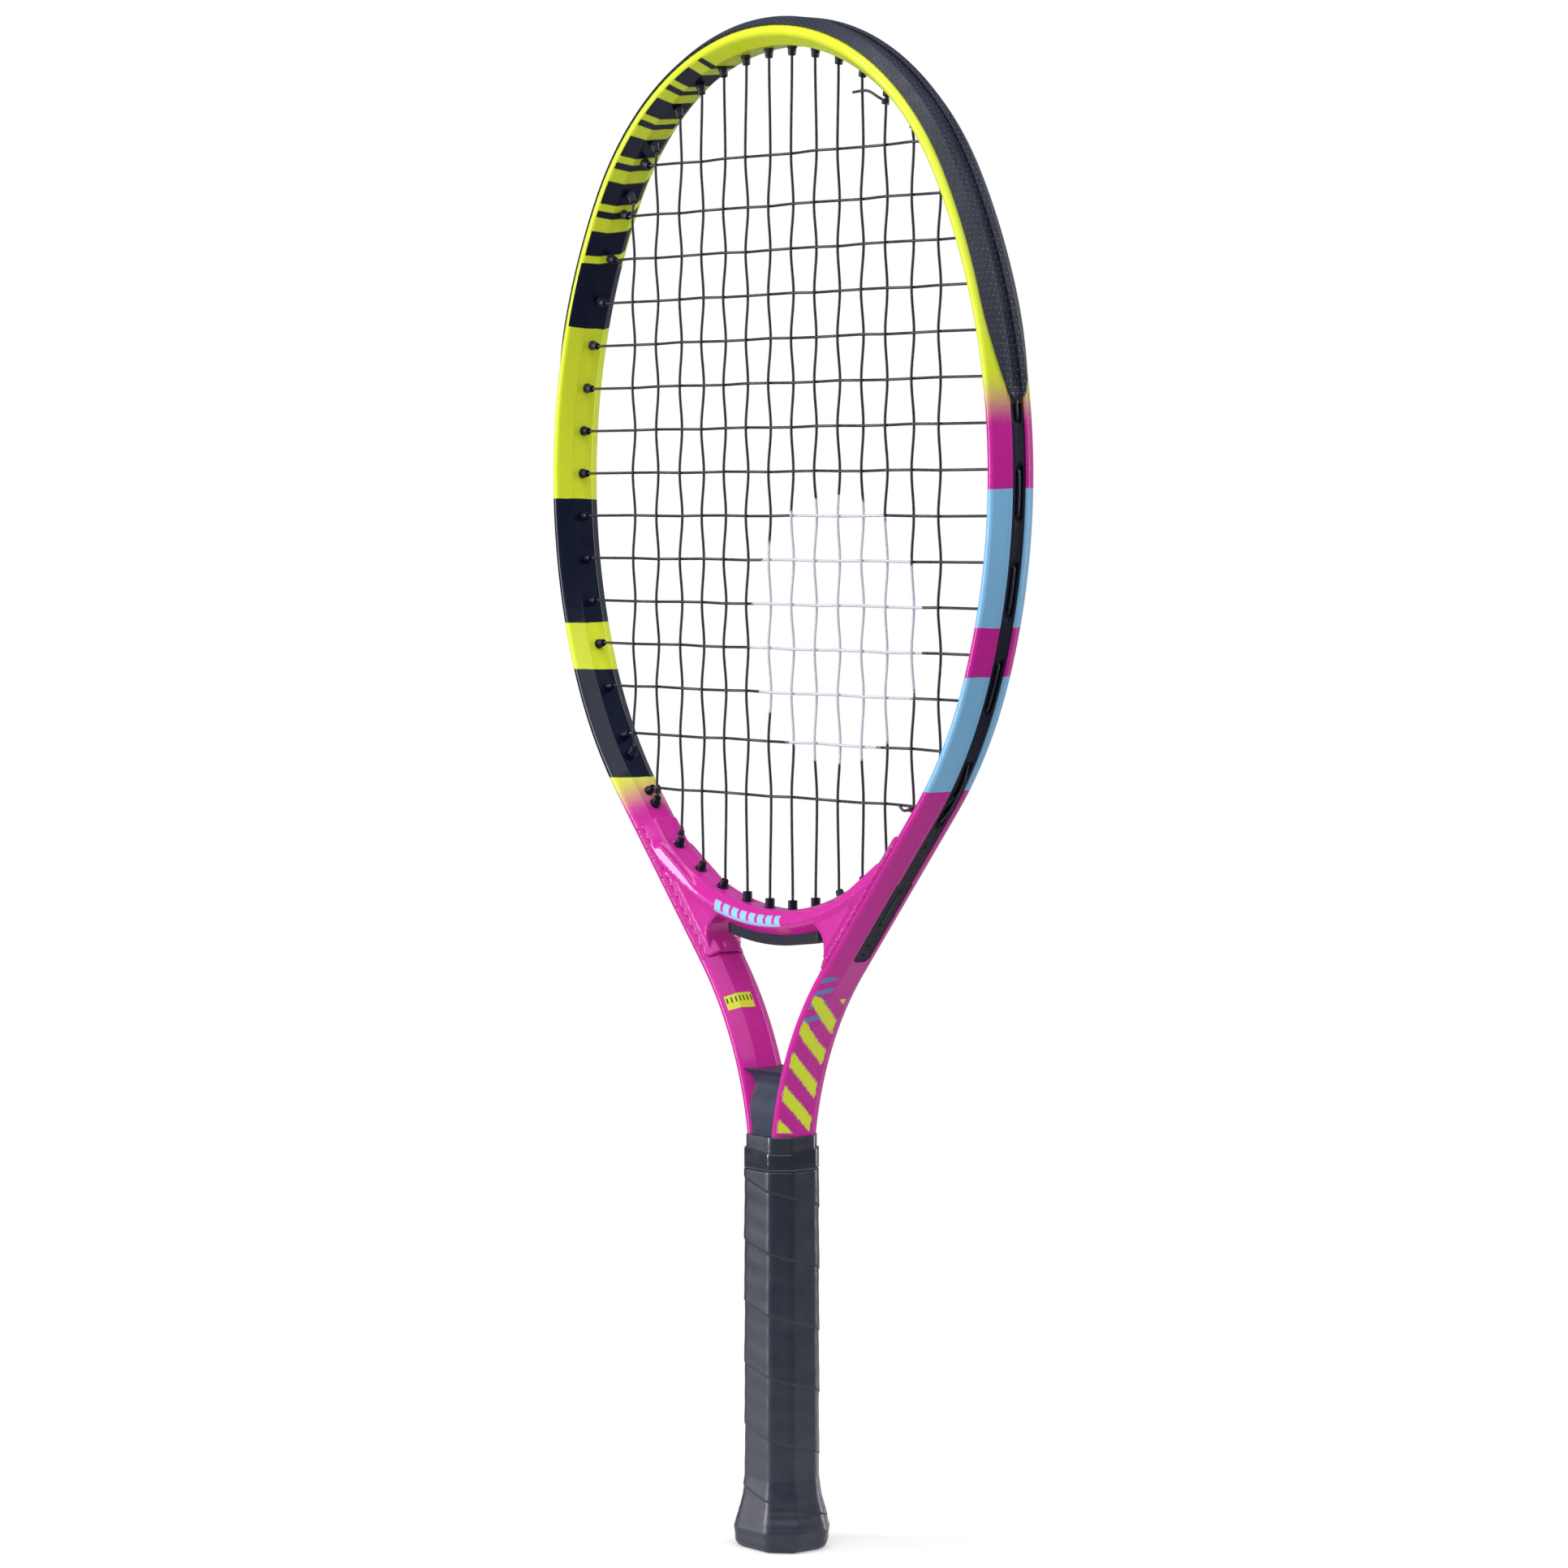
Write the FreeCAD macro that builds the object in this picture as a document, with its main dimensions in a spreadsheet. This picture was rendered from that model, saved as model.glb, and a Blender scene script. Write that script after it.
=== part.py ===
import FreeCAD, Part
import math
import os
import Sketcher
from FreeCAD import Matrix, Placement, Vector

# Junior tennis racket. X runs across the string plane, -Y is the front face, +Z up the racket.
# The origin is the middle of the butt's end face. Millimetres and degrees.

SIZES = [
    ("total_length", 533.4, "butt face to the top of the bumper guard"),
    # hairpin tube: tangent arcs from the top of the head down to the parallel shafts
    ("crown_radius", 107.5, "centreline radius at the top of the head"),
    ("crown_turn", 59.7, "degrees turned by each half of the crown"),
    ("shoulder_radius", 199.0, "centreline radius along the side"),
    ("shoulder_turn", 50.4, "degrees turned along the side"),
    ("cheek_radius", 146.0, "centreline radius below the widest part"),
    ("cheek_turn", 20.2, "degrees turned below the widest part"),
    ("neck_radius", 118.0, "reverse bend that brings the shafts parallel"),
    ("shaft_spacing", 10.8, "between the shafts' centrelines in the handle"),
    ("tube_width", 9.0, "tube across the hitting plane, flat to flat"),
    ("tube_depth", 18.8, "tube through the hitting plane, nose to nose"),
    ("tube_flat", 8.6, "width of the inner and outer flats"),
    ("tube_wall", 1.1, "wall of the aluminium tube"),
    ("nose_round", 2.0, "radius on the front and rear noses"),
    ("groove_width", 5.8, "outer groove that holds the grommet strips"),
    ("groove_depth", 1.8, "depth of that groove"),
    ("tail_groove_width", 7.4, "groove at the strips' lower tails"),
    ("tube_end", 26.0, "height of the tube's cut ends inside the handle"),
    # strings
    ("string_size", 1.22, "string diameter"),
    ("main_pitch", 12.6, "pitch of the ten inner main strings"),
    ("outer_main_pitch", 13.8, "pitch of the two outer mains on each side"),
    ("first_cross_drop", 41.6, "top of the centreline to the first cross string"),
    ("top_cross_gap", 17.6, "first to second cross string"),
    ("cross_pitch", 15.4, "pitch of the middle cross strings"),
    ("low_cross_gap", 17.1, "last but two to last but one cross string"),
    ("last_cross_gap", 19.2, "last but one to last cross string"),
    ("weave", "=string_size / 2 + 0.04", "crossing strings stand this far off the mid plane"),
    ("knot_size", 2.5, "diameter of a tied-off knot"),
    # grommets, strips and bumper
    ("barrel_size", 3.3, "outer diameter of a grommet barrel"),
    ("barrel_bore", 2.2, "bore of a grommet barrel"),
    ("barrel_reach", 3.3, "barrel beyond the inner surface"),
    ("barrel_lean", 0.4, "0 drills square to the tube, 1 along the string"),
    ("barrel_gap", 0.2, "radial gap between a barrel and its drilled hole"),
    ("strip_floor", 0.65, "strip thickness under the strings"),
    ("strip_rim", 1.55, "strip thickness at its rims"),
    ("channel_width", 3.9, "string channel in strips and bumper"),
    ("bumper_skin", 1.0, "bumper guard thickness over the tube"),
    ("bumper_lip", 4.3, "how far the bumper wraps down each facet"),
    ("bumper_end", 129.0, "top of the centreline down to the bumper's tongue"),
    ("tongue_length", 34.0, "length of the bumper's tapering tongue"),
    ("strip_end", 320.0, "top of the centreline down to the strip's lower end"),
    ("tail_start", 292.0, "top of the centreline down to the strip's wide tail"),
    ("joint_gap", 1.2, "gap between the bumper's tongue and the side strip"),
    ("seat_gap", 0.05, "clearance of a seated piece"),
    # throat bridge
    ("bridge_drop", 304.3, "top of the centreline down to the bridge's upper surface"),
    ("bridge_radius", 95.8, "radius of the bridge's upper surface"),
    ("bridge_height", 8.6, "bridge thickness in the hitting plane"),
    ("bridge_depth", "=tube_depth - 1", "bridge through the hitting plane"),
    ("bridge_flat", 8.4, "width of the bridge's upper and lower flats"),
    ("bridge_edge_round", 0.8, "radius where its flats meet the facets"),
    ("bridge_ridge_round", 2.2, "radius on its front and rear ridges"),
    ("bridge_turn", 45.0, "degrees of bridge each side of the middle"),
    ("wing_top", 276.2, "top of the centreline down to the wings' upper ends"),
    ("wing_end", 321.5, "top of the centreline down to the wings' lower ends"),
    ("wing_skin", 1.8, "wing thickness on the tube's inner flat"),
    ("wing_edge", 0.45, "wing thickness at the tube's ridge"),
    ("web_depth", 15.6, "web that ties bridge and wings, front to rear"),
    ("throat_strip_height", 3.6, "throat grommet strip below the bridge"),
    ("throat_strip_width", 7.8, "throat grommet strip front to rear"),
    ("throat_strip_half_length", 27.0, "middle to end of the throat strip"),
    # wedge, handle and butt
    ("handle_above_neck", 10.0, "neck end up to the top of the handle shells"),
    ("wedge_rise", 30.0, "wedge above the handle shells"),
    ("wedge_depth", "=tube_depth - 1.2", "wedge front to rear"),
    ("scoop_radius", 10.0, "hollow below the top edge of the wedge's faces"),
    ("scoop_depth", 2.4, "how deep the hollow goes"),
    ("scoop_drop", 5.0, "top of the wedge down to the middle of the hollow"),
    ("pallet_width", 23.0, "handle shells across the hitting plane"),
    ("pallet_depth", "=tube_depth + 1.6", "handle shells through the hitting plane"),
    ("pallet_bevel", 5.0, "bevel size of the handle shells"),
    ("split_gap", 0.1, "gap between the two handle shells"),
    ("shaft_gap", 0.1, "clearance of the tube in the handle"),
    ("spigot_width", 20.6, "reduced lower end of the shells, across"),
    ("spigot_depth", 18.0, "reduced lower end of the shells, through"),
    ("spigot_bottom", 4.4, "height of the shells' lower end"),
    ("cap_height", 24.0, "top of the butt cap"),
    ("flare_height", 7.0, "height of the butt's widest part"),
    ("flare", 6.6, "how much wider the butt is than the handle"),
    ("foot_inset", 1.6, "rounding in at the foot of the butt cap"),
    ("cap_wall_gap", 0.1, "clearance of the cap on the shells"),
    ("badge_size", 16.0, "blank disc in the butt's end face"),
    ("badge_depth", 1.2, "thickness of the blank disc"),
    ("wrap_thickness", 1.1, "grip wrap"),
    ("wrap_bottom", 2.6, "lower edge of the wrap on the butt"),
    ("wrap_below_top", 4.7, "wrap's upper edge below the top of the shells"),
    ("collar_width", 23.8, "rubber collar across"),
    ("collar_depth", "=tube_depth + 2.4", "rubber collar through"),
    ("collar_rise", 7.5, "collar above the top of the shells"),
    ("tape_rise", 3.2, "finishing tape above the top of the shells"),
    ("staple_crown", 7.0, "staple crown length"),
    ("staple_wire", 0.7, "staple wire thickness"),
    ("staple_leg", 5.0, "staple leg length"),
    ("staple_height", 14.0, "height of the staples on the butt"),
]

INNER_MAINS = 5
OUTER_MAINS = 2
MIDDLE_CROSSES = 12
MAINS_IN_BRIDGE = 2

doc = FreeCAD.newDocument("tennis_racket")
sheet = doc.addObject("Spreadsheet::Sheet", "sizes")
for row, (alias, number, note) in enumerate(SIZES, start=1):
    sheet.set("A%d" % row, alias)
    sheet.set("B%d" % row, str(number))
    sheet.set("C%d" % row, note)
    sheet.setAlias("B%d" % row, alias)
doc.recompute()


def size(alias):
    return float(sheet.get(alias))


half_width = size("tube_width") / 2
half_flat = size("tube_flat") / 2
string_radius = size("string_size") / 2
crown_top = size("total_length") - size("bumper_skin") - half_width
groove_floor = half_width - size("groove_depth")
strip_base = groove_floor + size("seat_gap")
string_floor = strip_base + size("strip_floor")
run_offset = string_floor + string_radius + 0.15
tip_offset = half_width + size("barrel_reach")
Y_AXIS = Vector(0, 1, 0)
ORIGIN = Vector(0, 0, 0)


# ---------------------------------------------------------------- tube centreline

class Span:
    """One arc or straight of the right half; radius > 0 turns inwards, < 0 outwards, 0 is straight."""

    def __init__(self, start, x, z, heading, length, radius):
        self.start, self.x, self.z, self.heading = start, x, z, heading
        self.length, self.radius = length, radius

    def at(self, station):
        """Position and heading; the heading is measured clockwise from +X."""
        run = station - self.start
        if self.radius == 0:
            return (self.x + math.cos(self.heading) * run,
                    self.z - math.sin(self.heading) * run, self.heading)
        heading = self.heading + run / self.radius
        return (self.x + self.radius * (math.sin(heading) - math.sin(self.heading)),
                self.z + self.radius * (math.cos(heading) - math.cos(self.heading)), heading)


def hairpin_spans():
    spans = []
    x, z, heading, station = 0.0, crown_top, 0.0, 0.0

    def add(length, radius):
        nonlocal x, z, heading, station
        span = Span(station, x, z, heading, length, radius)
        spans.append(span)
        station += length
        x, z, heading = span.at(station)

    for name in ("crown", "shoulder", "cheek"):
        radius = size(name + "_radius")
        add(radius * math.radians(size(name + "_turn")), radius)
    neck = size("neck_radius")
    inward = x - neck * (1 - math.sin(heading)) - size("shaft_spacing") / 2
    add(inward / -math.cos(heading), 0)
    add(neck * (heading - math.pi / 2), -neck)
    add(z - size("tube_end"), 0)
    return spans


SPANS = hairpin_spans()
neck_end = SPANS[-1].z
handle_top = neck_end + size("handle_above_neck")
last_row = len(SIZES) + 1
sheet.set("A%d" % last_row, "handle_top")
sheet.set("B%d" % last_row, str(handle_top))
sheet.set("C%d" % last_row, "worked out: height of the handle shells' top")
sheet.setAlias("B%d" % last_row, "handle_top")
doc.recompute()
tube_length = SPANS[-1].start + SPANS[-1].length
widest = SPANS[0].length + SPANS[1].radius * (math.pi / 2 - SPANS[1].heading)


def centre_at(station):
    for span in SPANS:
        if station <= span.start + span.length:
            return span.at(station)
    return SPANS[-1].at(station)


def normal_at(station):
    heading = centre_at(station)[2]
    return Vector(math.sin(heading), 0, math.cos(heading))


def point_at(station, offset, y=0.0):
    x, z, heading = centre_at(station)
    return Vector(x + offset * math.sin(heading), y, z + offset * math.cos(heading))


def bisect(function, low, high):
    rising = function(high) > function(low)
    for _ in range(60):
        middle = (low + high) / 2
        if (function(middle) > 0) == rising:
            high = middle
        else:
            low = middle
    return (low + high) / 2


def station_at_height(z, offset):
    return bisect(lambda station: point_at(station, offset).z - z, 0, tube_length)


def station_below_top(drop, offset):
    return station_at_height(crown_top - drop, offset)


# ---------------------------------------------------------------- profiles and sweeps

def rounded_wire(corners):
    """Closed flat wire through (x, y, radius) corners."""
    joints = []
    count = len(corners)
    for k in range(count):
        corner = Vector(corners[k][0], corners[k][1], 0)
        before = Vector(corners[k - 1][0], corners[k - 1][1], 0) - corner
        after = Vector(corners[(k + 1) % count][0], corners[(k + 1) % count][1], 0) - corner
        radius = corners[k][2]
        if radius == 0:
            joints.append((corner, None, corner))
            continue
        before.normalize()
        after.normalize()
        half = before.getAngle(after) / 2
        bisector = (before + after).normalize()
        centre = corner + bisector * (radius / math.sin(half))
        reach = radius / math.tan(half)
        joints.append((corner + before * reach, centre - bisector * radius, corner + after * reach))
    edges = []
    for k in range(count):
        start, middle, end = joints[k]
        if middle is not None:
            edges.append(Part.Arc(start, middle, end).toShape())
        edges.append(Part.LineSegment(end, joints[(k + 1) % count][0]).toShape())
    return Part.Wire(edges)


def mirrored_profile(half):
    """Corners (offset, y, radius) with y >= 0, closed by their mirror image in y = 0."""
    return half + [(n, -y, r) for n, y, r in reversed(half)]


def apex():
    """Height of the sharp nose whose rounding ends at half the tube's depth."""
    nose = size("nose_round")
    tip = size("tube_depth") / 2
    for _ in range(40):
        half = math.atan2(half_width, tip - half_flat)
        tip = size("tube_depth") / 2 + nose * (1 / math.sin(half) - 1)
    return tip


APEX = apex()


def hull_profile(grow):
    """Outline of the tube, pushed out by grow everywhere."""
    half = math.atan2(half_width, APEX - half_flat)
    corner = grow * (1 - math.sin(half)) / math.cos(half)
    flat = half_flat + corner
    return mirrored_profile([
        (-half_width - grow, flat, 0.6 + grow),
        (0, APEX + grow / math.sin(half), size("nose_round") + grow),
        (half_width + grow, flat, 0.6 + grow),
    ])


def swept(corners, start, end):
    """Solid of a profile carried along the right half of the centreline."""
    pieces = []
    for span in SPANS:
        low = max(start, span.start)
        high = min(end, span.start + span.length)
        if high - low < 1e-6:
            continue
        face = Part.Face(rounded_wire(corners))
        x, z, heading = span.at(low)
        sine, cosine = math.sin(heading), math.cos(heading)
        face.Placement = Placement(Matrix(sine, 0, -cosine, x, 0, 1, 0, 0, cosine, 0, sine, z, 0, 0, 0, 1))
        if span.radius == 0:
            pieces.append(face.extrude(Vector(cosine, 0, -sine) * (high - low)))
        else:
            centre = Vector(x - span.radius * sine, 0, z - span.radius * cosine)
            pieces.append(face.revolve(centre, Y_AXIS, math.degrees((high - low) / span.radius)))
    if len(pieces) == 1:
        return pieces[0]
    return pieces[0].fuse(pieces[1:]).removeSplitter()


def mirrored(shape):
    return shape.mirror(ORIGIN, Vector(1, 0, 0))


def both_sides(shape):
    return shape.fuse(mirrored(shape)).removeSplitter()


def feature(name, shape):
    piece = doc.addObject("Part::Feature", name)
    piece.Shape = shape
    return piece


def cut(name, base, tool):
    piece = doc.addObject("Part::Cut", name)
    piece.Base, piece.Tool = base, tool
    return piece


# ---------------------------------------------------------------- string layout and grommets

def main_columns():
    columns = [size("main_pitch") * (k + 0.5) for k in range(INNER_MAINS)]
    for k in range(OUTER_MAINS):
        columns.append(columns[-1] + size("outer_main_pitch"))
    return columns


def cross_heights():
    heights = [crown_top - size("first_cross_drop")]
    heights.append(heights[-1] - size("top_cross_gap"))
    for k in range(MIDDLE_CROSSES - 1):
        heights.append(heights[-1] - size("cross_pitch"))
    heights.append(heights[-1] - size("low_cross_gap"))
    heights.append(heights[-1] - size("last_cross_gap"))
    return heights


MAINS = main_columns()
CROSSES = cross_heights()
bridge_top = crown_top - size("bridge_drop")
bridge_centre = Vector(0, 0, bridge_top + size("bridge_radius"))
bridge_under = size("bridge_radius") + size("bridge_height")


def bridge_surface(x, radius):
    return bridge_centre.z - math.sqrt(radius ** 2 - x ** 2)


class Grommet:
    """A barrel that carries one string end through the frame, on the right side."""

    def __init__(self, tip, direction, station):
        self.tip = tip
        self.direction = direction
        self.station = station

    def on_offset(self, offset):
        """Where the barrel's axis meets the curve at that offset from the centreline."""
        def side(station):
            return (point_at(station, offset) - self.tip).cross(self.direction).y
        station = bisect(side, self.station - 18, self.station + 18)
        return station, point_at(station, offset)

    def rod(self, radius, offset, start=0.0):
        """Cylinder along the barrel from its tip to that offset."""
        base = self.tip + self.direction * start
        end = self.on_offset(offset)[1]
        return Part.makeCylinder(radius, (end - base).Length, base, self.direction)


def lean(station, along):
    share = size("barrel_lean")
    return (normal_at(station) * (1 - share) + along * share).normalize()


def cross_grommet(z):
    station = station_at_height(z, -tip_offset)
    return Grommet(point_at(station, -tip_offset), lean(station, Vector(1, 0, 0)), station)


def top_grommet(x):
    station = bisect(lambda s: point_at(s, -tip_offset).x - x, 0, widest)
    return Grommet(point_at(station, -tip_offset), lean(station, Vector(0, 0, 1)), station)


def low_grommet(x):
    """Lower end of a main that leaves through the tube, from the tube or from the bridge's wing."""
    station = bisect(lambda s: point_at(s, -tip_offset).x - x, widest, SPANS[4].start)
    tip = point_at(station, -tip_offset)
    above_bridge = bridge_surface(x, size("bridge_radius")) + size("barrel_reach")
    if above_bridge > tip.z:
        tip = Vector(x, 0, above_bridge)
    return Grommet(tip, lean(station, Vector(0, 0, -1)), station)


cross_grommets = [cross_grommet(z) for z in CROSSES]
top_grommets = [top_grommet(x) for x in MAINS]
low_grommets = [low_grommet(x) for x in MAINS[MAINS_IN_BRIDGE:]]
tube_grommets = cross_grommets + top_grommets + low_grommets
bumper_limit = station_below_top(size("bumper_end"), half_width)
strip_limit = station_below_top(size("strip_end"), half_width)
tail_limit = station_below_top(size("tail_start"), half_width)
bumper_grommets = [g for g in cross_grommets + top_grommets if g.station < bumper_limit]
side_grommets = [g for g in cross_grommets if g.station >= bumper_limit] + low_grommets
throat_columns = MAINS[:MAINS_IN_BRIDGE]


# ---------------------------------------------------------------- frame tube

def groove_profile(width, floor):
    half = width / 2
    return mirrored_profile([(floor, half, 0), (half_width + 2, half, 0)])


def slot(width, floor, thickness, start, end):
    """Flat-bottomed bar on the tube's outer side whose lower end is a half disc."""
    bar = swept([(floor, -width / 2, 0), (floor, width / 2, 0),
                 (floor + thickness, width / 2, 0), (floor + thickness, -width / 2, 0)],
                start, end - width / 2)
    disc = Part.makeCylinder(width / 2, thickness, point_at(end - width / 2, floor),
                             normal_at(end - width / 2))
    return bar.fuse(disc)


def cavity_profile(outer):
    wall = size("tube_wall")
    half = math.atan2(half_width, APEX - half_flat)
    tip = APEX - wall / math.sin(half)
    slope = (tip - half_flat) / half_width

    def facet(offset):
        return tip - abs(offset) * slope

    return mirrored_profile([(-half_width + wall, facet(half_width - wall), 0.4),
                             (0, tip, 0.9), (outer, facet(outer), 0.4)])


def frame_tube():
    blank = both_sides(swept(hull_profile(0), 0, tube_length))
    shallow = groove_floor - size("tube_wall")
    low_start = strip_limit + 4
    cavity = both_sides(swept(cavity_profile(shallow), 0, low_start))
    shaft = swept(cavity_profile(half_width - size("tube_wall")), low_start, tube_length)
    groove = both_sides(swept(groove_profile(size("groove_width"), groove_floor), 0, tail_limit))
    tail = slot(size("tail_groove_width"), groove_floor, size("groove_depth") + 2,
                tail_limit - 1, strip_limit)
    radius = size("barrel_size") / 2 + size("barrel_gap")
    holes = [g.rod(radius, half_width + 1, -1) for g in tube_grommets]
    hollow = blank.cut([cavity, shaft, mirrored(shaft)])
    base = feature("tube_blank", hollow.cut([groove, tail, mirrored(tail)]))
    tool = feature("tube_holes", Part.makeCompound(holes + [mirrored(hole) for hole in holes]))
    return cut("frame_tube", base, tool)


# ---------------------------------------------------------------- bumper and strips

def facet_point(along, out):
    """Point on the outer facet: so far down from the flat's edge, so far out from the metal."""
    run = Vector(-half_width, APEX - half_flat, 0).normalize()
    outward = Vector(run.y, -run.x, 0)
    point = Vector(half_width, half_flat, 0) + run * along + outward * out
    return point.x, point.y


def bumper_profile():
    gap = size("seat_gap")
    channel = size("channel_width") / 2
    tongue = size("groove_width") / 2 - gap
    skin = size("bumper_skin")
    lip = size("bumper_lip")
    outer = half_width + skin
    half = math.atan2(half_width, APEX - half_flat)
    edge = half_flat + skin * (1 - math.sin(half)) / math.cos(half)
    inner_edge = half_flat + gap
    return mirrored_profile([
        (string_floor, channel, 0), (outer, channel, 0.3), (outer, edge, 0.6),
        facet_point(lip, skin) + (0.3,), facet_point(lip, gap) + (0,),
        (half_width + gap, inner_edge, 0.3), (half_width + gap, tongue, 0), (strip_base, tongue, 0),
    ])


def barrels(grommets, floor):
    radius = size("barrel_size") / 2
    return [g.rod(radius, floor) for g in grommets]


def bores(grommets, beyond):
    return [g.rod(size("barrel_bore") / 2, beyond, -1) for g in grommets]


def tongue_mask():
    """Side-view outline that the bumper's tapering ends stay inside."""
    bottom = crown_top - size("bumper_end")
    shoulder = bottom + size("tongue_length")
    tip = size("groove_width") / 2 - size("seat_gap")
    wide = size("tube_depth")
    wire = rounded_wire([(tip, bottom, tip * 0.6), (half_flat + 0.6, bottom + 8, 3),
                         (APEX - 1, shoulder, 8), (wide, shoulder + 6, 0), (wide, crown_top + 40, 0),
                         (-wide, crown_top + 40, 0), (-wide, shoulder + 6, 0),
                         (-APEX + 1, shoulder, 8), (-half_flat - 0.6, bottom + 8, 3),
                         (-tip, bottom, tip * 0.6)])
    face = Part.Face(wire)
    face.Placement = Placement(Matrix(0, 0, 1, -300, 1, 0, 0, 0, 0, 1, 0, 0, 0, 0, 0, 1))
    return face.extrude(Vector(600, 0, 0))


def bumper_guard():
    shell = swept(bumper_profile(), 0, bumper_limit + 6)
    body = shell.fuse(barrels(bumper_grommets, string_floor - 0.1))
    body = body.cut(bores(bumper_grommets, half_width + 3))
    return feature("bumper_guard", both_sides(body).common(tongue_mask()).removeSplitter())


def strip_solid():
    gap = size("seat_gap")
    width = size("groove_width") - 2 * gap
    tail_width = size("tail_groove_width") - 2 * gap
    channel = size("channel_width") / 2
    start = bumper_limit + size("joint_gap") + 1.5
    bar = swept([(strip_base, -width / 2, 0), (strip_base, width / 2, 0),
                 (strip_base + size("strip_rim"), width / 2, 0.3),
                 (strip_base + size("strip_rim"), -width / 2, 0.3)], start, tail_limit)
    tail = slot(tail_width, strip_base, size("strip_rim"), tail_limit - 0.5, strip_limit - gap)
    last = max(g.on_offset(string_floor)[0] for g in side_grommets)
    channel_cut = slot(2 * channel, string_floor, 3, start - 1, last + channel)
    body = bar.fuse([tail] + barrels(side_grommets, string_floor)).cut(channel_cut)
    return body.cut(bores(side_grommets, half_width + 3)).removeSplitter()


def side_strips():
    right = strip_solid()
    return [feature("right_grommet_strip", right), feature("left_grommet_strip", mirrored(right))]


def ring_sector(inner, outer, half_depth, half_angle):
    """Curved bar about the bridge's centre, opening upwards."""
    face = Part.Face(Part.makePolygon([
        Vector(0, -half_depth, bridge_centre.z - inner), Vector(0, half_depth, bridge_centre.z - inner),
        Vector(0, half_depth, bridge_centre.z - outer), Vector(0, -half_depth, bridge_centre.z - outer),
        Vector(0, -half_depth, bridge_centre.z - inner)]))
    face.rotate(bridge_centre, Y_AXIS, -half_angle)
    return face.revolve(bridge_centre, Y_AXIS, 2 * half_angle)


def throat_rods(radius, top_extra, depth):
    """Vertical cylinders through the bridge for its own mains, both sides."""
    rods = []
    for x in [side * column for column in throat_columns for side in (-1, 1)]:
        top = bridge_surface(x, size("bridge_radius")) + size("barrel_reach") + top_extra
        low = bridge_surface(x, bridge_under + depth)
        rods.append(Part.makeCylinder(radius, top - low, Vector(x, 0, low)))
    return rods


def throat_grommet_strip():
    gap = size("seat_gap")
    height = size("throat_strip_height")
    half = size("throat_strip_width") / 2
    angle = math.degrees(size("throat_strip_half_length") / bridge_under)
    bar = ring_sector(bridge_under + gap, bridge_under + height, half, angle)
    outline = Part.Face(rounded_wire([
        (x, y, half - 0.4) for x, y in ((-1, -1), (1, -1), (1, 1), (-1, 1))
        for x, y in [(x * size("throat_strip_half_length"), y * half)]]))
    outline.translate(Vector(0, 0, bridge_top - 3 * height - 20))
    bar = bar.common(outline.extrude(Vector(0, 0, 60)))
    floor = height - 1.9
    channel = ring_sector(bridge_under + floor, bridge_under + height + 2, size("channel_width") / 2 - 0.8,
                          angle * 0.86)
    strip = bar.fuse(throat_rods(size("barrel_size") / 2, 0, floor - 0.2)).cut(channel)
    strip = strip.cut(throat_rods(size("barrel_bore") / 2, 1, height + 1))
    return feature("throat_grommet_strip", strip.removeSplitter())


# ---------------------------------------------------------------- throat bridge

def throat_bridge():
    height = size("bridge_height") / 2
    depth = size("bridge_depth") / 2
    middle = bridge_centre.z - size("bridge_radius") - height
    flat, edge, ridge = size("bridge_flat") / 2, size("bridge_edge_round"), size("bridge_ridge_round")
    corners = rounded_wire(mirrored_profile([(height, flat, edge), (0, depth + ridge / 2, ridge),
                                             (-height, flat, edge)]))
    face = Part.Face(corners)
    face.Placement = Placement(Matrix(0, 0, 1, 0, 0, 1, 0, 0, 1, 0, 0, middle, 0, 0, 0, 1))
    face.rotate(bridge_centre, Y_AXIS, -size("bridge_turn"))
    arch = face.revolve(bridge_centre, Y_AXIS, 2 * size("bridge_turn"))
    top_station = station_below_top(size("wing_top"), -half_width)
    end_station = station_below_top(size("wing_end"), -half_width)
    ridge = size("tube_depth") / 2 + size("wing_edge")
    wing = swept(mirrored_profile([(-half_width - size("wing_skin"), half_flat + 0.4, 0.8),
                                   (-0.4, ridge, 0.3), (0, ridge - 2, 0)]), top_station, end_station)
    web = web_solid(end_station)
    body = arch.fuse([wing, mirrored(wing), web, mirrored(web)])
    envelope = both_sides(swept(hull_profile(size("seat_gap")), SPANS[0].start, end_station + 30))
    radius = size("barrel_size") / 2 + size("barrel_gap")
    drilled = throat_rods(radius, 2, 3)
    for grommet in low_grommets:
        hole = grommet.rod(radius, 0, -2)
        drilled += [hole, mirrored(hole)]
    base = feature("bridge_blank", body.removeSplitter().cut(envelope))
    tool = feature("bridge_holes", Part.makeCompound(drilled))
    return cut("throat_bridge", base, tool)


def web_solid(end_station):
    """Plate that fills the acute corner between the bridge and a wing, with a rounded lower edge."""
    half = size("web_depth") / 2
    inner = point_at(end_station - 3, -half_width)
    x_near = size("throat_strip_half_length") + 0.6
    near = Vector(x_near, 0, bridge_surface(x_near, bridge_under - 1))
    high = point_at(station_below_top(size("wing_top") + 8, -half_width), -half_width)
    upper = Vector(x_near, 0, bridge_surface(x_near, bridge_under - 3))
    chord = (near + inner) * 0.5
    out = (high - chord).normalize()
    arc = Part.Arc(inner, chord + out * ((near - inner).Length * 0.22), near).toShape()
    edges = [arc, Part.LineSegment(near, upper).toShape(), Part.LineSegment(upper, high).toShape(),
             Part.LineSegment(high, inner).toShape()]
    face = Part.Face(Part.Wire(edges))
    face.translate(Vector(0, -half, 0))
    return face.extrude(Vector(0, 2 * half, 0))


# ---------------------------------------------------------------- strings

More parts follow.
